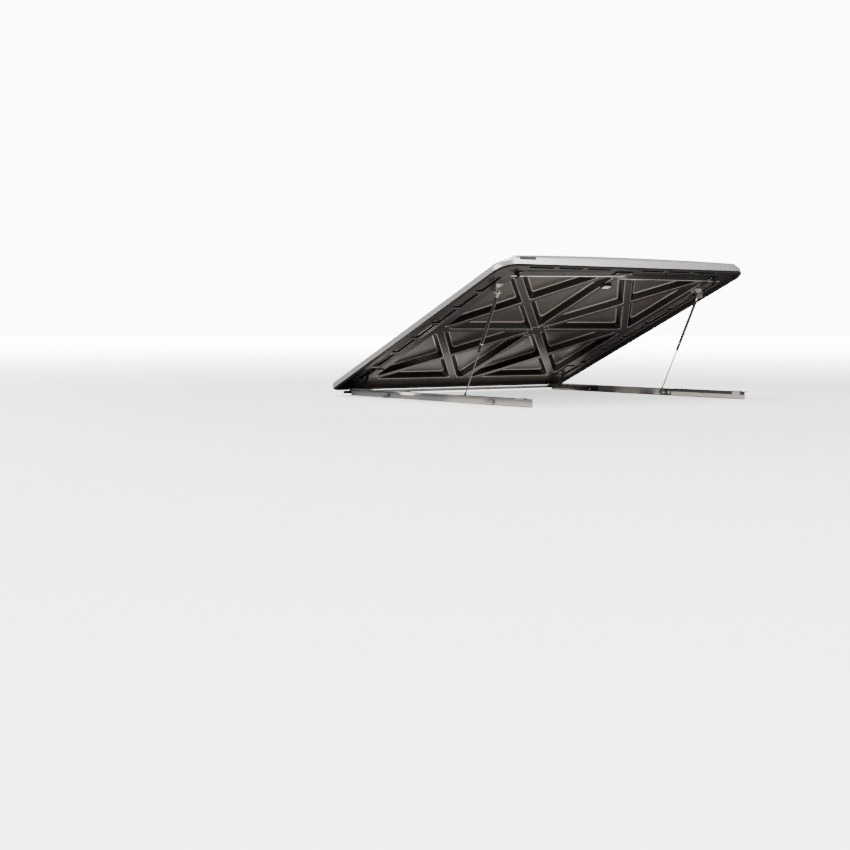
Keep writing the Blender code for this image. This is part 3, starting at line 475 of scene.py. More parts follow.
def finish_piece(name, bm, slot, body, place=None, keep_flat=True, sharp=35):
    """Makes the object, turns it to its place, gives it its material and rides it on its body."""
    bmesh.ops.recalc_face_normals(bm, faces=bm.faces)
    if bm.calc_volume(signed=True) < 0:
        bmesh.ops.reverse_faces(bm, faces=bm.faces)
    if place is not None:
        bmesh.ops.transform(bm, matrix=place, verts=bm.verts)
    mesh = bpy.data.meshes.new(name)
    bm.to_mesh(mesh)
    bm.free()
    mesh.shade_smooth()
    mesh.set_sharp_from_angle(angle=math.radians(sharp))
    made = bpy.data.objects.new(name, mesh)
    bpy.context.scene.collection.objects.link(made)
    mesh.materials.append(MATERIALS[slot])
    if keep_flat:
        flat = made.modifiers.new("flat_faces", "WEIGHTED_NORMAL")
        flat.keep_sharp = True
    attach(made, body)
    return made


def turned_bmesh(profile, segments=32):
    """Turns a closed (radius, height) outline about Z."""
    bm = bmesh.new()
    rings = []
    for radius, height in profile:
        count = 1 if radius < 1e-9 else segments
        ring = []
        for k in range(count):
            turn = 2 * math.pi * k / segments
            ring.append(bm.verts.new((radius * math.cos(turn), radius * math.sin(turn), height)))
        rings.append(ring)
    for i, low in enumerate(rings):
        high = rings[(i + 1) % len(rings)]
        if len(low) == 1 and len(high) == 1:
            continue
        for k in range(segments):
            m = (k + 1) % segments
            corners = [low[k % len(low)], low[m % len(low)], high[m % len(high)], high[k % len(high)]]
            bm.faces.new(list(dict.fromkeys(corners)))
    return bm


def bridge(bm, low, high):
    """The faces between two rings with equal point counts."""
    for i in range(len(low)):
        j = (i + 1) % len(low)
        bm.faces.new(list(dict.fromkeys((low[i], low[j], high[j], high[i]))))


def close_rings(bm, rings):
    """A closed solid over the rings, with a face across each end."""
    for low, high in zip(rings, rings[1:]):
        bridge(bm, low, high)
    bm.faces.new(rings[0][::-1])
    bm.faces.new(rings[-1])


def plug(radius, low, high, segments):
    """A plain round bar along Z, for a bore or a shaft."""
    return turned_bmesh([(0.0, low), (radius, low), (radius, high), (0.0, high)], segments)


def settle(obj):
    """Applies the modifiers of an object to its mesh."""
    bpy.context.view_layer.update()
    graph = bpy.context.evaluated_depsgraph_get()
    mesh = bpy.data.meshes.new_from_object(obj.evaluated_get(graph), depsgraph=graph)
    obj.modifiers.clear()
    obj.data = mesh


def add_bmesh(bm, other):
    """Adds the other mesh to the first."""
    spare = bpy.data.meshes.new("spare")
    other.to_mesh(spare)
    other.free()
    bm.from_mesh(spare)
    bpy.data.meshes.remove(spare)


def cut_by(made, cutter, place):
    """Takes the cutter's solid out of an object, and applies the object's modifiers."""
    bmesh.ops.recalc_face_normals(cutter, faces=cutter.faces)
    bmesh.ops.transform(cutter, matrix=place, verts=cutter.verts)
    mesh = bpy.data.meshes.new("cutter")
    cutter.to_mesh(mesh)
    cutter.free()
    tool = bpy.data.objects.new("cutter", mesh)
    bpy.context.scene.collection.objects.link(tool)
    bore = made.modifiers.new("bore", "BOOLEAN")
    bore.operation = "DIFFERENCE"
    bore.object = tool
    settle(made)
    bpy.data.objects.remove(tool)


def arc(centre, radius, start, steps):
    """A quarter turn from the start angle in degrees."""
    points = []
    for k in range(steps + 1):
        turn = math.radians(start + 90 * k / steps)
        points.append((centre[0] + radius * math.cos(turn), centre[1] + radius * math.sin(turn)))
    return points


def rounded(points, radius, steps=6):
    """An outline with its corners rounded, as far as its edges leave room."""
    made = []
    count = len(points)
    for i in range(count):
        before, corner, after = Vector(points[i - 1]), Vector(points[i]), Vector(points[(i + 1) % count])
        to_before, to_after = (before - corner).normalized(), (after - corner).normalized()
        half_angle = to_before.angle(to_after) / 2
        room = 0.45 * min((before - corner).length, (after - corner).length)
        reach = min(radius / math.tan(half_angle), room)
        start, end = corner + to_before * reach, corner + to_after * reach
        for k in range(steps + 1):
            t = k / steps
            made.append(tuple((1 - t) ** 2 * start + 2 * t * (1 - t) * corner + t * t * end))
    return made


def stacked(levels):
    """A closed solid from plan outlines with equal point counts, each at its height."""
    bm = bmesh.new()
    close_rings(bm, [[bm.verts.new((x, y, z)) for x, y in outline] for outline, z in levels])
    return bm


def swept(points, radius, sides):
    """A closed round wire along the points."""
    bm = bmesh.new()
    rings = []
    for i, point in enumerate(points):
        way = points[min(i + 1, len(points) - 1)] - points[max(i - 1, 0)]
        turn = way.to_track_quat("Z", "X").to_matrix()
        ring = []
        for k in range(sides):
            angle = 2 * math.pi * k / sides
            across = Vector((radius * math.cos(angle), radius * math.sin(angle), 0.0))
            ring.append(bm.verts.new(point + turn @ across))
        rings.append(ring)
    close_rings(bm, rings)
    return bm


def along(start, direction):
    """The place at start with +Z along the direction."""
    turn = Vector(direction).to_track_quat("Z", "Y").to_matrix().to_4x4()
    return Matrix.Translation(start) @ turn


# --- Lid skin -------------------------------------------------------------------------------------


def ramp(value, low, high):
    """Goes smoothly from 0 at low to 1 at high."""
    t = min(1.0, max(0.0, (value - low) / (high - low)))
    return t * t * (3 - 2 * t)


def skin_height(x, s):
    """Height of the skin's top at x across and s back from the front edge."""
    half = LID_WIDTH / 2
    side = ramp(half - abs(x), LEDGE_WIDTH, LEDGE_WIDTH + STEP_WIDTH)
    front = ramp(s, LEDGE_WIDTH, LEDGE_WIDTH + STEP_WIDTH)
    arch = 1 - (x / half) ** 2
    return LEDGE_HEIGHT + FIELD_RAISE * side * front + CROWN * arch * ramp(s, 0.0, ARCH_RUN)


def lid_ring(inset_side, inset_rear, across, down, corner_steps):
    """A closed plan outline of the lid, moved in by the insets, counterclockwise from above."""
    half = LID_WIDTH / 2 - inset_side
    front, rear = -inset_side, -LID_LENGTH + inset_rear
    big = max(REAR_CORNER - inset_side, 0.012)
    small = max(FRONT_CORNER - inset_side, 0.008)
    corners = (
        (arc((half - small, front - small), small, 0, corner_steps), across),
        (arc((-half + small, front - small), small, 90, corner_steps), down),
        (arc((-half + big, rear + big), big, 180, corner_steps), across),
        (arc((half - big, rear + big), big, 270, corner_steps), down),
    )
    points = []
    for i, (bend, runs) in enumerate(corners):
        points += bend
        end = Vector(bend[-1])
        following = Vector(corners[(i + 1) % 4][0][0])
        points += [tuple(end.lerp(following, k / runs)) for k in range(1, runs)]
    return points


def skin_steps():
    """The skin's rings from the lip over the rounded edge, ledge and step to the field.

    Each is (inset from the sides and front, inset from the rear, share of the full height).
    """
    lip, lip_share = 0.0008, 0.55
    steps = [(0.0, 0.0, 0.0), (lip / 2, lip / 2, 0.30)]
    for k in range(9):
        turn = math.radians(90 * k / 8)
        moved = lip + EDGE_RADIUS * (1 - math.cos(turn))
        steps.append((moved, moved, lip_share + (1 - lip_share) * math.sin(turn)))
    steps += [(0.030, 0.026, 1.0), (0.050, 0.032, 1.0)]
    foot, rear_foot = LEDGE_WIDTH - 0.004, 0.038
    steps += [(foot + 0.026 * k / 12, rear_foot + 0.020 * k / 12, 1.0) for k in range(13)]
    steps += [(0.11, 0.075, 1.0), (0.15, 0.13, 1.0), (0.22, 0.20, 1.0)]
    steps += [(field, field, 1.0) for field in (0.30, 0.42, 0.55, 0.70)]
    return steps


def skin_sheet():
    """The outside of the skin as an open sheet of rings, with its normals outwards."""
    bm = bmesh.new()
    rings = []
    for inset_side, inset_rear, share in skin_steps():
        outline = lid_ring(inset_side, inset_rear, 24, 24, 16)
        rings.append([bm.verts.new((x, y, share * skin_height(x, -y))) for x, y in outline])
    for low, high in zip(rings, rings[1:]):
        bridge(bm, low, high)
    last = rings[-1]
    middle = bm.verts.new((0.0, -LID_LENGTH / 2, skin_height(0.0, LID_LENGTH / 2)))
    for a, b in zip(last, last[1:] + last[:1]):
        bm.faces.new((a, b, middle))
    bmesh.ops.recalc_face_normals(bm, faces=bm.faces)
    if sum(face.normal.z * face.calc_area() for face in bm.faces) < 0:
        bmesh.ops.reverse_faces(bm, faces=bm.faces)
    return bm


def shell():
    """The painted skin: the sheet made thick inwards, with the hole for the handle's dish."""
    mesh = bpy.data.meshes.new("painted_skin")
    bm = skin_sheet()
    bm.to_mesh(mesh)
    bm.free()
    mesh.shade_smooth()
    made = bpy.data.objects.new("painted_skin", mesh)
    bpy.context.scene.collection.objects.link(made)
    wall = made.modifiers.new("wall", "SOLIDIFY")
    wall.thickness = SKIN
    wall.offset = -1.0
    wall.use_even_offset = True
    cut_by(made, plug(HOLE_RADIUS, 0.02, 0.09, 64), Matrix.Translation((0.0, -LATCH_S, 0.0)))
    made.data.set_sharp_from_angle(angle=math.radians(40))
    made.data.transform(LID)
    made.data.materials.append(MATERIALS["silver_paint"])
    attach(made, "lid")
    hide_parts("outer_shell")


# --- Liner ----------------------------------------------------------------------------------------


def line_side(point, a, b):
    """More than 0 where the point is on the left of the line from a to b."""
    return (b[0] - a[0]) * (point[1] - a[1]) - (b[1] - a[1]) * (point[0] - a[0])


def signed_area(points):
    """Area of an outline, below 0 where it runs clockwise."""
    total = 0.0
    for a, b in zip(points, points[1:] + points[:1]):
        total += a[0] * b[1] - b[0] * a[1]
    return total / 2


def inset(points, amount):
    """A counterclockwise outline with its edges moved in, by one amount or by one for each edge."""
    amounts = amount if isinstance(amount, (list, tuple)) else [amount] * len(points)
    edges = []
    for i, a in enumerate(points):
        a, b = Vector(a), Vector(points[(i + 1) % len(points)])
        along_edge = (b - a).normalized()
        inward = Vector((-along_edge.y, along_edge.x))
        edges.append((a + inward * amounts[i], along_edge))
    moved = []
    for i, (point, way) in enumerate(edges):
        before, way_before = edges[i - 1]
        meet = geometry.intersect_line_line_2d(
            before - way_before * FAR, before + way_before * FAR, point - way * FAR, point + way * FAR)
        moved.append(tuple(meet))
    return moved


def truss_panels():
    """The sixteen panels between the ribs, as convex outlines."""
    middle = (TRUSS_FRONT + TRUSS_REAR) / 2
    foot = 0.095  # from the middle to where a short rib meets the front or rear
    half = RIB_WIDTH / 2
    panels = []
    for end in (TRUSS_FRONT, TRUSS_REAR):
        for side in (-1, 1):
            centre = Vector((0.0, -middle))
            corner = Vector((side * TRUSS_X, -end))
            side_end = Vector((side * TRUSS_X, -middle))
            end_start = Vector((side * foot, -end))
            end_middle = Vector((0.0, -end))
            cross = geometry.intersect_line_line_2d(centre, corner, end_start, side_end)
            outlines = (
                ([cross, end_start, corner], [half, 0.0, half]),
                ([cross, corner, side_end], [half, 0.0, half]),
                ([cross, side_end, centre], [half, half, half]),
                ([centre, end_middle, end_start, cross], [half, 0.0, half, half]),
            )
            for outline, insets in outlines:
                outline = [tuple(p) for p in outline]
                if signed_area(outline) < 0:
                    outline = outline[::-1]
                    insets = insets[:-1][::-1] + insets[-1:]
                panels.append(inset(outline, insets))
    return panels


def rectangle(x_ends, s_ends):
    """A rectangle between two x and two distances from the front edge, counterclockwise."""
    left, right = sorted(x_ends)
    front, rear = sorted(s_ends)
    return [(left, -rear), (right, -rear), (right, -front), (left, -front)]


def edge_pockets():
    """Seven shallow pockets along each side and six along the rear."""
    pockets = []
    front, rear, count, gap = 0.13, 1.62, 7, 0.012
    pitch = (rear - front) / count
    for side in (-1, 1):
        for k in range(count):
            start = front + k * pitch
            pockets.append(rectangle((side * 0.786, side * 0.842), (start + gap, start + pitch - gap)))
    for side in (-1, 1):
        for k in range(3):
            start = 0.115 + k * 0.205
            pockets.append(rectangle((side * start, side * (start + 0.175)), (1.722, 1.752)))
    return pockets


def edge_grooves():
    """The long stiffening groove between the pockets and the pans, one to a side."""
    return [rectangle((side * 0.765, side * 0.7765), (0.120, 1.630)) for side in (-1, 1)]


def pan_profile(depth, slope, lip_radius, floor_radius, steps=4):
    """Points from the rib face, over its rounded edge, up the wall and into the pan's floor.

    Each is (inset, height, form), where form is the share of edge, wall and floor at that point; the liner's
    material turns these shares into a painted highlight, painted shade and painted light.
    """
    angle = math.atan2(depth, slope)
    lip_run = lip_radius * math.tan(angle / 2)
    floor_run = floor_radius * math.tan(angle / 2)
    points = []
    for k in range(steps + 1):
        share = k / steps
        turn = angle * share
        points.append((-lip_run + lip_radius * math.sin(turn), lip_radius * (1 - math.cos(turn)),
                       (math.sin(math.pi * share), share, 0.0)))
    for k in range(steps + 1):
        share = k / steps
        turn = angle * (1 - share)
        points.append((slope + floor_run - floor_radius * math.sin(turn),
                       depth - floor_radius * (1 - math.cos(turn)),
                       (math.sin(math.pi * share), 1.0 - share, share)))
    return points


def liner_pans():
    """Every formed recess of the liner, as a list of (outline, height, form) rings from the face inwards.

    Each kind has its outlines, wall, corner radius, the radius's growth along the inset, and corner steps.
    """
    kinds = (
        (truss_panels(), pan_profile(PAN_DEPTH, PAN_SLOPE, 0.006, 0.012), 0.016, 0.2, 6),
        (edge_grooves(), pan_profile(GROOVE_DEPTH, 0.0020, 0.0020, 0.0012, 3), 0.003, 0.0, 4),
        (edge_pockets(), pan_profile(POCKET_DEPTH, 0.005, 0.002, 0.003), 0.006, 0.0, 4),
    )
    pans = []
    for outlines, wall, corner, growth, steps in kinds:
        for outline in outlines:
            pans.append([(rounded(inset(outline, d), corner + growth * max(d, 0.0), steps), z, form)
                         for d, z, form in wall])
    return pans


def inside(point, outline):
    """Whether a point lies in a convex counterclockwise outline."""
    return all(line_side(point, a, b) > 0 for a, b in zip(outline, outline[1:] + outline[:1]))


def triangles_between(boundary, holes):
    """Triangles that fill the boundary round the holes, all of them convex."""
    points = [Vector(p) for p in boundary]
    edges = [(i, (i + 1) % len(boundary)) for i in range(len(boundary))]
    for hole in holes:
        start = len(points)
        points += [Vector(p) for p in hole]
        edges += [(start + i, start + (i + 1) % len(hole)) for i in range(len(hole))]
    made, _, faces, *_ = geometry.delaunay_2d_cdt(points, edges, [], 0, 1e-7)
    kept = []
    for face in faces:
        centre = sum((made[i] for i in face), Vector((0.0, 0.0))) / 3
        if inside(centre, boundary) and not any(inside(centre, hole) for hole in holes):
            kept.append(tuple(face))
    return [tuple(p) for p in made], kept


def liner():
    """The formed liner: its face, the walls and floors of its pans, and the same again a wall higher."""
    boundary = lid_ring(0.0068, 0.0068, across=4, down=4, corner_steps=10)
    pans = liner_pans()
    flat_points, flat_faces = triangles_between(boundary, [pan[0][0] for pan in pans])
    surface = {}
    forms = []
    faces = []

    def index(x, y, z, form=(0.0, 0.0, 0.0)):
        spot = surface.setdefault((round(x, 6), round(y, 6), round(z, 6)), len(surface))
        if spot == len(forms):
            forms.append(form)
        return spot

    for face in flat_faces:
        faces.append([index(*flat_points[i], 0.0) for i in face])
    for pan in pans:
        for (low, low_z, low_form), (high, high_z, high_form) in zip(pan, pan[1:]):
            for i in range(len(low)):
                j = (i + 1) % len(low)
                faces.append([index(*low[i], low_z, low_form), index(*low[j], low_z, low_form),
                              index(*high[j], high_z, high_form), index(*high[i], high_z, high_form)])
        floor_ring, floor_z, floor_form = pan[-1]
        faces.append([index(*p, floor_z, floor_form) for p in floor_ring])
    bm = bmesh.new()
    # the form colours are the masks for the liner's painted highlight, painted shade and painted light
    layer = bm.verts.layers.float_color.new("form")
    for wall in (0.0, LINER_WALL):
        verts = [bm.verts.new((x, y, LINER_Z + z + wall)) for x, y, z in surface]
        for vert, form in zip(verts, forms):
            vert[layer] = (*form, 1.0)
        for face in faces:
            bm.faces.new([verts[i] for i in face])
    bm.verts.ensure_lookup_table()
    rim = [index(*p, 0.0) for p in boundary]
    for a, b in zip(rim, rim[1:] + rim[:1]):
        bm.faces.new([bm.verts[i] for i in (a, b, len(surface) + b, len(surface) + a)])
    made = finish_piece("formed_liner", bm, "black_abs", "lid", LID, sharp=40)
    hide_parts("inner_liner")


def hub():
    """The round boss over the ribs' crossing, with a painted highlight on its rim and a ring of rivets."""
    middle = (TRUSS_FRONT + TRUSS_REAR) / 2
    face, high = LINER_Z - 0.0028, LINER_Z + 0.0004
    step = face + 0.0008
    profile = [(0.0, step), (0.020, step), (0.022, face), (0.0705, face), (0.0735, face), (0.0755, step),
               (0.077, high), (0.0, high)]
    bm = turned_bmesh(profile, 64)
    layer = bm.verts.layers.float_color.new("form")
    for vert in bm.verts:
        # painted highlight: the rim is marked as edge, which the liner's material turns paler
        on_rim = 0.072 < vert.co.to_2d().length < 0.076
        vert[layer] = (0.7 * on_rim, 0.0, 0.0, 1.0)
    finish_piece("hub_boss", bm, "black_abs", "lid", LID @ Matrix.Translation((0.0, -middle, 0.0)))
    for k in range(8):
        turn = math.radians(22.5 + 45 * k)
        rivet("hub_rivet_%d" % k, (0.056 * math.cos(turn), -middle + 0.056 * math.sin(turn), face))


def rivet(name, spot):
    """A domed rivet head that stands out downwards."""
    radius, height, sunk, steps = 0.0048, 0.0022, 0.0003, 6
    profile = [(0.0, sunk), (radius, sunk)]
    for k in range(1, steps):
        turn = math.radians(90 * k / steps)
        profile.append((radius * math.cos(turn), -height * math.sin(turn)))
    profile.append((0.0, -height))
    place = LID @ Matrix.Translation(spot)
    finish_piece(name, turned_bmesh(profile, 20), "zinc_steel", "lid", place, keep_flat=False)


# --- Seal -----------------------------------------------------------------------------------------


def seal():
    """The bulb seal round the underside: a flat root in the liner's rim with a round bulb below it."""
    bulb, bulb_radius, bulb_drop = 0.0140, 0.0065, -0.0090
    section = [(0.0078, -0.0003), (0.0075, -0.0050), (0.0076, bulb_drop)]
    for k in range(1, 8):
        turn = math.radians(180 + 180 * k / 8)
        section.append((bulb + bulb_radius * math.cos(turn), bulb_drop + bulb_radius * math.sin(turn)))
    section += [(0.0205, bulb_drop), (0.0205, -0.0050), (0.0196, -0.0003)]
    bm = bmesh.new()
    rings = []
    for offset, drop in section:
        rings.append([bm.verts.new((x, y, LINER_Z + drop)) for x, y in lid_ring(offset, offset, 2, 2, 14)])
    for ring, other in zip(rings, rings[1:] + rings[:1]):
        bridge(bm, ring, other)
    made = finish_piece("bulb_seal", bm, "seal_rubber", "lid", LID, keep_flat=False)
    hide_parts("edge_seal")


# --- Fasteners ------------------------------------------------------------------------------------


def ring_points(radius, height, sides):
    """The points of one ring: a circle, or where sides is 6, a hexagon with this corner radius."""
    points = []
    for k in range(HEAD_POINTS):
        turn = 2 * math.pi * k / HEAD_POINTS
        reach = radius
        if sides == 6:
            reach *= math.cos(math.pi / 6) / math.cos((turn % (math.pi / 3)) - math.pi / 6)
        points.append(Vector((reach * math.cos(turn), reach * math.sin(turn), height)))
    return points


def button_head(radius, height):
    """A domed screw head with a hexagonal recess, as (radius, height, sides) rings."""
    rings = [(radius, 0.0, 0), (radius, 0.15 * height, 0)]
    for k in range(1, 6):
        turn = math.radians(18 * k)
        rings.append((radius * (0.5 + 0.5 * math.cos(turn)), height * (0.15 + 0.85 * math.sin(turn)), 0))
    rings += [(0.46 * radius, 0.99 * height, 6), (0.44 * radius, 0.35 * height, 6)]
    return rings + [(0.0, 0.2 * height, 0)]


def hex_head(radius, height):
    """A flanged hexagon head with a chamfered top."""
    return [(1.30 * radius, 0.0, 0), (1.30 * radius, 0.14 * height, 0), (1.05 * radius, 0.24 * height, 0),
            (radius, 0.24 * height, 6), (radius, 0.86 * height, 6), (0.84 * radius, height, 0),
            (0.50 * radius, height, 0), (0.46 * radius, 0.93 * height, 0), (0.0, 0.93 * height, 0)]


def nut_on_stud(radius, height):
    """A hexagon nut with the end of its threaded stud standing out."""
    rings = [(radius, 0.0, 6), (radius, 0.84 * height, 6)]
    rings += [(0.86 * radius, height, 0), (0.58 * radius, height, 0)]
    for k in range(4):
        rise = height * (1.0 + 0.14 * k)
        rings += [(0.50 * radius, rise, 0), (0.56 * radius, rise + 0.07 * height, 0)]
    return rings + [(0.42 * radius, 1.62 * height, 0), (0.0, 1.62 * height, 0)]


def fasteners(name, rings, places, slot, body):
    """A set of equal heads in one piece, each at a matrix whose Z points out of the surface."""
    bm = bmesh.new()
    for place in places:
        made = []
        for radius, height, sides in rings:
            if radius == 0.0:
                made.append([bm.verts.new(place @ Vector((0.0, 0.0, height)))] * HEAD_POINTS)
            else:
                made.append([bm.verts.new(place @ point) for point in ring_points(radius, height, sides)])
        for low, high in zip(made, made[1:]):
            bridge(bm, low, high)
        bm.faces.new(made[0][::-1])
    return finish_piece(name, bm, slot, body, sharp=30)


def down_at(x, s, z):
    """The place of a head that stands out downwards from the lid's underside."""
    return LID @ Matrix.Translation((x, -s, z)) @ Matrix.Rotation(math.pi, 4, "X")


def inward_at(side, x, y, z):
    """The place of a head that stands out of a rail's web towards the middle of the bed."""
    return along((side * x, y, z), (-side, 0.0, 0.0))


def all_fasteners():
    """The screws, bolts and nuts on the lid and rails, one piece for each set of equal ones."""
    arm_screws = ((0.739, 0.216), (0.762, 0.2575), (0.739, 0.299))
    ear_x, guide_x, stud_end_x = 0.739, 0.718, 0.7796
    plate_face, bracket_face, lug_x, lug_top = 0.7911, 0.7916, 0.818, 0.0361
    arm_foot, flange, housing_face, lamp_face = 0.0007, 0.0027, -0.0015, -0.0083
    small_screw = button_head(0.0044, 0.0024)
    for word, side in SIDES:
        arm = [down_at(side * x, s, arm_foot) for x, s in arm_screws]
        fasteners(f"{word}_arm_screws", button_head(0.0065, 0.0034), arm, "zinc_steel", "lid")
        ear = [down_at(side * ear_x, UPPER_BALL_S + step, flange) for step in (-0.016, 0.016)]
        fasteners(f"{word}_ear_bolts", hex_head(0.0058, 0.0046), ear, "zinc_steel", "lid")
        guide = [down_at(side * guide_x, BOLT_S + step, flange) for step in (-0.0095, 0.0095)]
        fasteners(f"{word}_guide_screws", small_screw, guide, "zinc_steel", "lid")
        plate = [inward_at(side, plate_face, LOWER_BALL_Y + step, LOWER_BALL_Z) for step in (-0.032, 0.032)]
        fasteners(f"{word}_rail_bolts", hex_head(0.0066, 0.0048), plate, "zinc_steel", "bed_frame")
        bracket = [inward_at(side, bracket_face, y, 0.012) for y in (-0.125, -0.275)]
        fasteners(f"{word}_bracket_bolts", hex_head(0.0066, 0.0042), bracket, "black_steel", "bed_frame")
        lug = [Matrix.Translation((side * lug_x, STRIKER_Y + step, lug_top)) for step in (-0.014, 0.014)]
        fasteners(f"{word}_striker_screws", button_head(0.0046, 0.0024), lug, "zinc_steel", "bed_frame")
        stud_end = LID @ along((side * stud_end_x, -UPPER_BALL_S, UPPER_BALL_Z), (side, 0.0, 0.0))
        fasteners(f"{word}_stud_nut", nut_on_stud(0.0072, 0.0046), [stud_end], "zinc_steel", "lid")
    corners = [down_at(x, LATCH_S + y, housing_face) for x in (-0.051, 0.051) for y in (-0.025, 0.025)]
    fasteners("housing_screws", small_screw, corners, "zinc_steel", "lid")
    lamp = [down_at(x, LAMP_S, lamp_face) for x in (-0.0265, 0.0265)]
    fasteners("lamp_screws", button_head(0.0018, 0.0010), lamp, "zinc_steel", "lid")


def clamp_bolts():
    """The four clamp bolts, each with the nut against its jaw; the nut is open round the thread."""
    for word, side in SIDES:
        for row in ("front", "rear"):
            clamp_bolt(side, f"{word}_{row}_clamp_bolt", f"{word}_{row}_clamp_nut")


def clamp_bolt(side, node, nut_name):
    """A flanged hexagon head, the shank and its thread, over the CAD bolt's length; and the nut."""
    low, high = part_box(node)
    y, z = (low[1] + high[1]) / 2, (low[2] + high[2]) / 2
    head_start, tail = sorted((abs(low[0]), abs(high[0])))
    seat = head_start + 0.0065
    head = [(0.0052, -0.0065, 6), (0.0067, -0.0058, 6), (0.0067, -0.0012, 6), (0.0072, -0.0012, 0),
            (0.0072, 0.0, 0)]
    rings = [(radius, seat + height, sides) for radius, height, sides in head]
    rings.append((0.0040, seat, 0))
    pitch = 0.0010
    thread = JAW_OUTER - 0.010
    while thread < tail - 0.0015:
        rings += [(0.0039, thread, 0), (0.0035, thread + pitch / 2, 0)]
        thread += pitch
    rings += [(0.0034, tail, 0), (0.0, tail, 0)]
    axis = along((0.0, y, z), (side, 0.0, 0.0))
    made = fasteners(f"{node}_detail", rings, [axis], "zinc_steel", "bed_frame")
    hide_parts(node)
    nut = [(0.0068, 0.0003, 6), (0.0068, 0.0040, 6), (0.0056, 0.0048, 0), (0.0041, 0.0048, 0)]
    jaw_face = along((side * JAW_OUTER, y, z), (side, 0.0, 0.0))
    fasteners(nut_name, nut, [jaw_face], "zinc_steel", "bed_frame")


# --- Gas strut details ----------------------------------------------------------------------------


def strut_place(side):
    """The frame of a strut, with its origin on the upper ball and +Z away from the lower one."""
    upper = LID @ Vector((0.0, -UPPER_BALL_S, UPPER_BALL_Z))
    lower = Vector((0.0, LOWER_BALL_Y, LOWER_BALL_Z))
    return along((side * STRUT_X, upper.y, upper.z), (0.0, upper.y - lower.y, upper.z - lower.z))


def strut_tubes():
    """The pressure tube, necked at its closed end, with the crimp that holds the gland at the other."""
    top, end, radius, bore = -0.030, -0.352, 0.0090, 0.0078
    profile = [(0.0, top), (0.0050, top), (0.0068, top - 0.0006), (0.0083, top - 0.0022),
               (radius, top - 0.0050)]
    for groove in (end + 0.030, end + 0.014):
        for k in range(7):
            turn = math.radians(180 * k / 6)
            profile.append((radius - 0.0009 * math.sin(turn), groove + 0.0022 * math.cos(turn)))
    profile += [(radius, end + 0.0014), (radius - 0.0012, end)]
    profile += [(bore, end), (bore, top - 0.004), (0.0, top - 0.004)]
    band_inner, band_outer = radius + 0.0002, radius + 0.0009
    band = [(band_inner, end + 0.0440), (band_outer, end + 0.0434), (band_outer, end + 0.0396),
            (band_inner, end + 0.0390)]
    for word, side in SIDES:
        body = f"{word}_strut_upper"
        place = strut_place(side)
        tube = turned_bmesh(profile, 48)
        made = finish_piece(f"{word}_pressure_tube", tube, "strut_black", body, place, sharp=50)
        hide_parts(f"{word}_strut_tube")
        finish_piece(f"{word}_tube_band", turned_bmesh(band, 48), "zinc_steel", body, place)
        socket = place @ Matrix.Translation((side * 0.0045, 0.0, 0.0))
        clip = clip_wire()
        finish_piece(f"{word}_socket_clip", clip, "zinc_steel", body, socket, keep_flat=False, sharp=80)


def rod_sleeves():
    """The bright sleeve over the middle of each latch rod, rolled down onto it at both ends."""
    radius, on_rod = 0.0049, 0.0033
    for word, side in SIDES:
        inner = Vector((side * 0.008, -LATCH_S + side * ROTOR_PIN, ROD_Z))
        outer = Vector((side * BOLT_INNER, -BOLT_S, ROD_Z))
        reach = outer - inner
        start, end = 0.075, reach.length - 0.030
        profile = [(on_rod, start), (0.0042, start + 0.0004), (radius, start + 0.0030),
                   (radius, end - 0.0030), (0.0042, end - 0.0004), (on_rod, end)]
        finish_piece(f"{word}_rod_sleeve", turned_bmesh(profile), "polished_rod", f"{word}_bolt_rod",
                     LID @ along(inner, reach.normalized()))


def clip_wire():
    """The spring clip round the upper socket, which locks it on its ball."""
    radius, steps = 0.0101, 14
    tail = Vector((0.0, 0.0012, 0.0042))
    points = []
    for k in range(steps + 1):
        turn = math.radians(-210 + 240 * k / steps)
        points.append(Vector((0.0, radius * math.cos(turn), radius * math.sin(turn))))
    first = points[0] + Vector((0.0, -tail.y, tail.z))
    last = points[-1] + tail
    return swept([first] + points + [last], 0.0008, 8)


# --- Rails ----------------------------------------------------------------------------------------


def rail_trims():
    """Black edge trim over the rear of each rail, left open round the striker."""
    section = ((0.7948, 0.0160), (0.7956, 0.0160), (0.7956, 0.0334), (0.8349, 0.0334), (0.8349, 0.0342),
               (0.8343, 0.0345), (0.7962, 0.0345), (0.7952, 0.0341), (0.7948, 0.0334))
    for word, side in SIDES:
        bm = bmesh.new()
        for ends in ((-1.1500, -1.6400), (-1.7000, -1.7348)):
            close_rings(bm, [[bm.verts.new((side * x, y, z)) for x, z in section] for y in ends])
        finish_piece(f"{word}_rail_trim", bm, "seal_rubber", "bed_frame")


# --- Rear badge and handle ------------------------------------------------------------------------


def badge():
    """The blank plate at the rear edge: a rounded rim round a sunk face."""
    low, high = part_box("name_plate")
    half_x, half_y, corner = (high[0] - low[0]) / 2, 0.008, 0.0036
    depth, sunk = 0.0022, 0.0014
    levels = []
    for d, z in ((0.0, 0.0), (0.0, sunk), (0.0003, 0.0019), (0.0008, depth), (0.0014, depth), (0.0019, sunk)):
        x, y = half_x - d, half_y - d
        levels.append((rounded([(-x, -y), (x, -y), (x, y), (-x, y)], corner - 0.6 * d), z))
    middle = LID @ Vector(((low[0] + high[0]) / 2, -LID_LENGTH - 0.0002, 0.032))
    turn = LID.to_3x3() @ Matrix.Rotation(math.pi / 2, 3, "X")
    place = Matrix.Translation(middle) @ turn.to_4x4()
    made = finish_piece("blank_badge", stacked(levels), "black_plastic", "lid", place)
    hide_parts("name_plate")


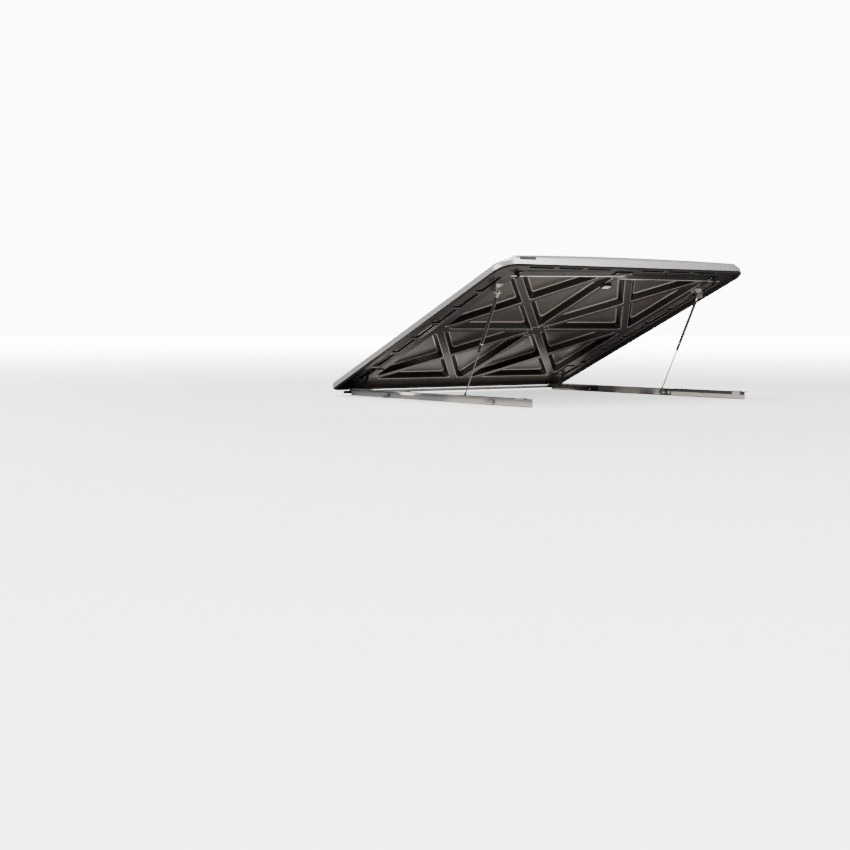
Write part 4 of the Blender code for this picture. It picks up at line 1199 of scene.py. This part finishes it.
def dish():
    """The round dish that the handle turns in: a rounded rim, a coved foot and a bored floor."""
    top = skin_height(0.0, LATCH_S) + GAP
    floor_z = top - DISH_DEPTH
    bore, under, wall, lip, rise = 0.0095, 0.003, 0.0415, 0.052, 0.003
    rim_radius, inner_radius, cove = 0.0024, 0.0012, 0.003
    profile = [(bore, floor_z), (bore, floor_z - under), (wall, floor_z - under), (wall, top), (lip, top)]
    profile += arc((0.0495, top + rise - rim_radius), rim_radius, 0, 6)
    profile += arc((0.0402, top + rise - inner_radius), inner_radius, 90, 5)
    profile += arc((0.0352, floor_z + cove), cove, 270, 6)[::-1]
    place = LID @ Matrix.Translation((0.0, -LATCH_S, 0.0))
    made = finish_piece("handle_dish", turned_bmesh(profile, 72), "black_plastic", "lid", place)
    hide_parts("lock_bezel")


def squared(value):
    """A sine or cosine drawn out towards its ends, so that a circle becomes a rounded oblong."""
    return math.copysign(abs(value) ** 0.55, value)


def grip():
    """The turning handle: a waisted bar with rounded ends on a round shaft, bored for the key core."""
    top = skin_height(0.0, LATCH_S) + GAP
    floor_z = top - DISH_DEPTH
    half_length, half_width, waist = 0.034, 0.0105, 0.0022
    levels = []
    for share, z in ((0.90, floor_z + 0.0020), (0.97, floor_z + 0.0026), (1.0, floor_z + 0.0040),
                     (1.0, top - 0.0010), (0.985, top + 0.0008), (0.95, top + 0.0019), (0.88, top + 0.0025)):
        outline = []
        for k in range(48):
            turn = 2 * math.pi * k / 48
            x = half_length * squared(math.cos(turn))
            half = half_width - waist * math.exp(-((abs(x) - 0.019) / 0.007) ** 2)
            outline.append((x * share, share * half * squared(math.sin(turn))))
        levels.append((outline, z))
    bm = stacked(levels)
    add_bmesh(bm, plug(0.0080, -0.0015, floor_z + 0.0022, 32))
    place = LID @ Matrix.Translation((0.0, -LATCH_S, 0.0))
    made = finish_piece("turning_grip", bm, "black_plastic", "latch_handle", place, keep_flat=False)
    cut_by(made, plug(0.0068, top - 0.0080, top + 0.01, 40), place)
    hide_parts("turn_handle")


# --- CAD nodes ------------------------------------------------------------------------------------


def dress_nodes():
    """Gives every CAD node its procedural material."""
    slots = {entry["node"]: entry["material_slot"] for entry in frame["record"]["subparts"]}
    for name, node in frame["nodes"].items():
        node.data.materials.clear()
        node.data.materials.append(MATERIALS[slots[name]])


camera()
MATERIALS = {
    "silver_paint": paint_material(),
    "black_abs": liner_material(),
    "seal_rubber": rubber_material(),
    "black_steel": coated_steel_material(),
    "zinc_steel": zinc_material(),
    "polished_rod": polished_material(),
    "nitrided_rod": nitrided_material(),
    "strut_black": coated_steel_material("strut_black", 0.26, 0.05),
    "rail_aluminium": aluminium_material(),
    "black_plastic": plastic_material(),
    "lamp_white": lens_material(),
}
studio()
floor(SIZE_BEFORE[0][2] - 0.0005)
dress_nodes()
shell()
liner()
hub()
seal()
all_fasteners()
clamp_bolts()
strut_tubes()
rod_sleeves()
rail_trims()
badge()
dish()
grip()
